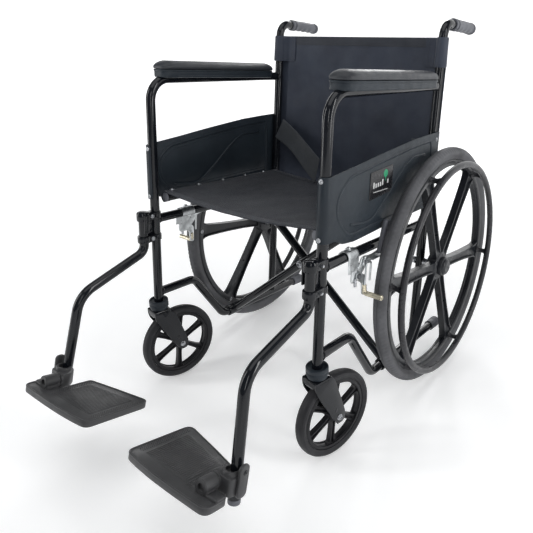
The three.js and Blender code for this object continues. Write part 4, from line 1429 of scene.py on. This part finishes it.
for side, place in SIDES:
    frame_body, body = side + "_frame", side + "_hanger"
    parts = []
    for z0, z1 in ((412, 430), (357, 373)):
        web = plate([(238, -39, 4), (264, -39, 4), (263, 1, 2), (239, 1, 2)], z0, z1, "z", 1.2)
        ring = turned(
            [(11.5, z0), (14.6, z0), (15, z0 + 0.8), (15, z1 - 0.8), (14.6, z1), (11.5, z1)], 40,
            ring=True
        )
        parts += [web, moved(ring, aimed((FRAME_X, -36, 0), (0, 0, 1)))]
        band = turned(
            [
                (11.2, z0 + 1), (13.2, z0 + 1), (13.4, z0 + 2), (13.4, z1 - 2), (13.2, z1 - 1),
                (11.2, z1 - 1)
            ],
            40, ring=True
        )
        parts.append(moved(band, aimed((FRAME_X, 0, 0), (0, 0, 1))))
    parts.append(block((248, -22, 372), (254, -10.6, 414), 1))
    cap = turned([(0, 435), (8, 434.6), (13.4, 432.6), (14.8, 430), (14.8, 426.5), (0, 426.5)], 40)
    parts.append(moved(cap, aimed((FRAME_X, -36, 0), (0, 0, 1))))
    fitted(
        side, "legrest_lugs", merged(*parts), PAINT, frame_body, place, "frame_paint", "hanger_bracket"
    )
    latch = plate([(-44, 382, 3), (-44, 428, 4), (-29, 428, 4), (-31, 382, 3)], 235.2, 238.2, edge=0.5)
    fitted(side, "legrest_latch", latch, PAINT, frame_body, place, "frame_paint")
    bolts = [bolt((237.8, -18, z), (-1, 0, 0), 3.6, 2.6, 5) for z in (421, 365)]
    bolts += [hex_nut((264.2, -18, z), (1, 0, 0), 3.6, 2.4) for z in (421, 365)]
    fitted(side, "legrest_bolts", merged(*bolts), STEEL, frame_body, place, "zinc_steel")
    fitted(side, "legrest_tube", tube(HANGER, TUBE_R), PAINT, body, place, "frame_paint", "hanger")
    plate_place = place @ PLATE
    end = moved(
        turned([(0, 3), (8, 2.7), (11, 1), (11.7, -1), (11.7, -8), (11, -8.6), (0, -8.6)], 36),
        aimed((268, -260, 52), (17, -47, -222))
    )
    fitted(side, "legrest_plug", end, GRIP, body, place, "grip_rubber")

    hub_ring = moved(
        turned([(6.6, 0), (12.6, 0), (13.8, 1.2), (13.8, 6), (6.6, 6)], 36, ring=True),
        aimed((HINGE[0], 53, HINGE[1]), (0, 1, 0))
    )
    arm = plate(
        [
            (HINGE[0] - 12, 54.6, 6), (278, 54.6, 8), (281.6, 70, 6), (281.6, 95.6, 8), (250, 95.6, 10),
            (HINGE[0] - 12, 74, 8)
        ],
        -10, 24, "z", 3
    )
    collar = moved(
        turned([(11.6, -8), (16, -8), (17, -6.6), (17, 28), (15.6, 30.6), (11.6, 30.6)], 44, ring=True),
        aimed((263.4, 74.5, 0), (-0.075, 0.02, 1))
    )
    tongue = plate(
        [(67.4, -13.6, 11), (90.6, -13.6, 11), (90.6, 47.6, 11), (67.4, 47.6, 11)], 281, 288.6,
        edge=2.2, steps=8
    )
    pin = tube([(HINGE[0], 24, HINGE[1]), (HINGE[0], 60, HINGE[1])], 6, 24, 0.8)
    shapes = merged(hub_ring, arm, collar, tongue, pin)
    fitted(side, "plate_clamp", shapes, FOOT, body, plate_place, "black_plastic", "footplate_clamp")
    screw = bolt((289, 79, 34), (1, 0, 0), 3.4, 1.6, 4.6)
    fitted(side, "plate_clamp_bolts", screw, PAINT, body, plate_place, "zinc_steel")


def board_outline(grow=0.0):
    """The footplate's outline, its front edge gently bowed."""
    g = grow
    points = [
        (64 + g, 8 + g, max(16 - g, 2)), (104, 2.2 + g, 10), (150, -1.6 + g, 12), (200, -2.8 + g, 12),
        (240, -2.8 + g, 10)
    ]
    points += [
        (283 - g, -2.4 + g, max(18 - g, 2)), (283 - g, 48 - g, 8), (224 - g, 52 - g, 4),
        (224 - g, 122 - g * 1.2, max(9 - g, 2))
    ]
    points += [(158, 139.6 - g, 12), (118, 149.6 - g, 12), (66 + g, 163 - g * 1.3, max(20 - g, 2))]
    return points


def footplate_shape():
    """Tread with a raised rim, a ribbed field, two dotted bands, and a hollow hinge barrel."""
    parts = [plate(board_outline(), -15.8, -1.4, "z", 2.4, 6)]
    outer = rounded(board_outline(1.2), 6)
    line = [Vector((p.x, p.y, -1.6)) for p in outer]
    loops = []
    for i, p in enumerate(line):
        ahead = (line[(i + 1) % len(line)] - line[i - 1]).normalized()
        u = 1.9 * Vector((ahead.y, -ahead.x, 0))
        loops.append([p + math.cos(a) * u + Vector((0, 0, 1.6 * math.sin(a))) for a in turns(10)])
    parts.append(loft(loops, closed=True))
    field = [(88, 30, 8), (206, 24, 8), (206, 112, 8), (158, 123, 10), (88, 138, 8)]
    parts.append(plate(field, -1.9, -0.9, "z", 0.4, 5))
    for k in range(23):
        x = 92 + k * 5
        end = 134 - (x - 88) * 0.22
        parts.append(
            plate(
                [(x, 32, 0.8), (x + 1.8, 32, 0.8), (x + 1.8, end, 0.8), (x, end, 0.8)], -1.2, -0.3, "z",
                0.3, 2
            )
        )

    def dots(x0, y0, columns, rows):
        for r in range(rows):
            for c in range(columns):
                x, y = x0 + r * 4.2, y0 + c * 4.2 + (r % 2) * 2.1
                parts.append(
                    moved(turned([(0, 0.9), (0.9, 0.7), (1.4, 0)], 8), aimed((x, y, -1.4), (0, 0, 1)))
                )

    dots(69.5, 30, 28, 4)
    dots(210, 22, 24, 3)
    x, z = HINGE
    barrel = turned([(6.8, 0), (12.4, 0), (14, 1.6), (14, 30.6), (12.6, 32), (6.8, 32)], 40, ring=True)
    parts.append(moved(barrel, aimed((x, 20, z), (0, 1, 0))))
    cheek = [(x - 13.8, 21, 4), (x + 13.8, 21, 4), (x + 13.8, 50.6, 4), (x - 13.8, 50.6, 4)]
    parts.append(plate(cheek, -6, z - 5.4, "z", 1.4))
    apron = [(x + 10, 21.5, 5), (282.4, 21.5, 8), (282.4, 47.6, 8), (x + 10, 47.6, 4)]
    parts.append(plate(apron, -8, 3.6, "z", 3))
    for k in range(8):
        y = 20 + k * 14
        parts.append(block((72, y, -15.9), (218, y + 2.2, -13.6), 0.6))
    return merged(*parts)


for side, place in SIDES:
    plate_place = place @ PLATE
    fitted(
        side, "foot_board", footplate_shape(), FOOT, f"{side}_footplate", plate_place, "black_plastic",
        "footplate"
    )


# ---------------------------------------------------------------- small marks

for side, place in SIDES:
    body = side + "_frame"
    x = 266.5
    badge = plate([(138, 521, 3), (138, 580, 3), (232, 588, 3), (232, 529, 3)], x, x + 1.0, edge=0.4)
    fitted(side, "badge", badge, BADGE, body, place, "black_plastic")
    dot = merged(turned([(0, 0.9), (6.4, 0.9), (8.4, 0.4), (8.6, 0)], 32))
    crown = moved(dot, aimed((x + 1.0, 200, 572), (1, 0, 0)))
    stem = block((x + 1.0, 199, 556), (x + 1.7, 201, 566), 0.3)
    fitted(side, "badge_dot", merged(crown, stem), ACCENT, body, place, "black_plastic")
    bars = []
    for y, height in ((150, 13), (159, 9), (168, 9), (177, 9), (186, 13), (208, 9)):
        foot = 545 + (y - 150) * 0.08
        bars.append(block((x + 1.0, y, foot), (x + 1.6, y + 5, foot + height), 0.5))
    bars.append(block((x + 1.0, 152, 536), (x + 1.5, 212, 537.6), 0.3))
    fitted(side, "badge_bars", merged(*bars), PALE, body, place, "black_plastic")


# ---------------------------------------------------------------- studio


def area_light(name, place, target, size, power):
    data = bpy.data.lights.new(name, "AREA")
    data.shape = "RECTANGLE"
    data.size, data.size_y = size
    data.energy = power
    made = bpy.data.objects.new(name, data)
    made.location = place
    made.rotation_euler = (Vector(target) - Vector(place)).to_track_quat("-Z", "Y").to_euler()
    bpy.context.scene.collection.objects.link(made)


def backdrop(name, radius, strength_near, strength_far):
    """White paper that lies on the floor and sweeps up behind the chair, lit by itself towards its far end."""
    shape = bmesh.new()
    profile = [(-12, 0), (-3, 0), (0, 0), (3, 0), (6, 0)]
    profile += [
        (6 + 2.5 * math.sin(a), 2.5 - 2.5 * math.cos(a))
        for a in [math.pi * k / 24 for k in range(1, 13)]
    ]
    profile.append((8.5, 9))
    rows = [[shape.verts.new((x, y, z)) for x in (-radius, 0, radius)] for y, z in profile]
    for a, b in zip(rows, rows[1:]):
        for i in range(2):
            shape.faces.new((a[i], a[i + 1], b[i + 1], b[i]))
    mesh = bpy.data.meshes.new(name)
    shape.to_mesh(mesh)
    shape.free()
    mesh.polygons.foreach_set("use_smooth", [True] * len(mesh.polygons))
    made = bpy.data.objects.new(name, mesh)
    made.location.z = -0.0006
    bpy.context.scene.collection.objects.link(made)
    paper = material("paper_white", (0.94, 0.94, 0.94), 0.95, specular=0.05)
    shader = paper.node_tree.nodes["Principled BSDF"]
    shader.inputs["Emission Color"].default_value = (1, 1, 1, 1)
    reach = node(paper, "ShaderNodeVectorMath", operation="LENGTH")
    link(paper, node(paper, "ShaderNodeTexCoord").outputs["Object"], reach.inputs[0])
    glow = between(paper, reach.outputs["Value"], 0.9, 4.2, strength_near, strength_far)
    link(paper, glow, shader.inputs["Emission Strength"])
    mesh.materials.append(paper)
    return made


backdrop("studio_paper", 40, 0.25, 0.85)

world = bpy.data.worlds.new("studio")
world.use_nodes = True
world.node_tree.nodes["Background"].inputs["Color"].default_value = (0.88, 0.94, 1, 1)
world.node_tree.nodes["Background"].inputs["Strength"].default_value = 0.15
bpy.context.scene.world = world
area_light("top_softbox", (0.0, -0.4, 2.8), (0, 0, 0.4), (2.2, 2.2), 22)
area_light("left_strip", (-1.9, -1.8, 1.35), (0, 0, 0.5), (0.35, 2.1), 23)
area_light("right_strip", (2.3, 0.1, 1.35), (0, 0, 0.5), (0.35, 2.1), 23)
area_light("front_strip", (1.9, -2.2, 1.6), (0, 0, 0.45), (0.3, 1.8), 13)
area_light("rear_strip", (-0.9, 2.4, 1.6), (0, 0, 0.6), (0.4, 1.8), 17)
bpy.context.scene.view_settings.view_transform = "Standard"

camera_data = bpy.data.cameras.new("camera")
camera_data.sensor_width = 36
camera_data.lens = 37.82
camera_data.shift_x = -0.0902
camera_data.shift_y = -0.0888
camera_data.clip_end = 100
camera = bpy.data.objects.new("camera", camera_data)
rows = ((0.80433, -0.19115, 0.56259), (0.59384, 0.29055, -0.75029), (-0.02004, 0.93757, 0.34722))
camera.matrix_world = Matrix.Translation((0.8349, hub.y - 1.23511, 0.92)) @ Matrix(rows).to_4x4()
bpy.context.scene.collection.objects.link(camera)
bpy.context.scene.camera = camera
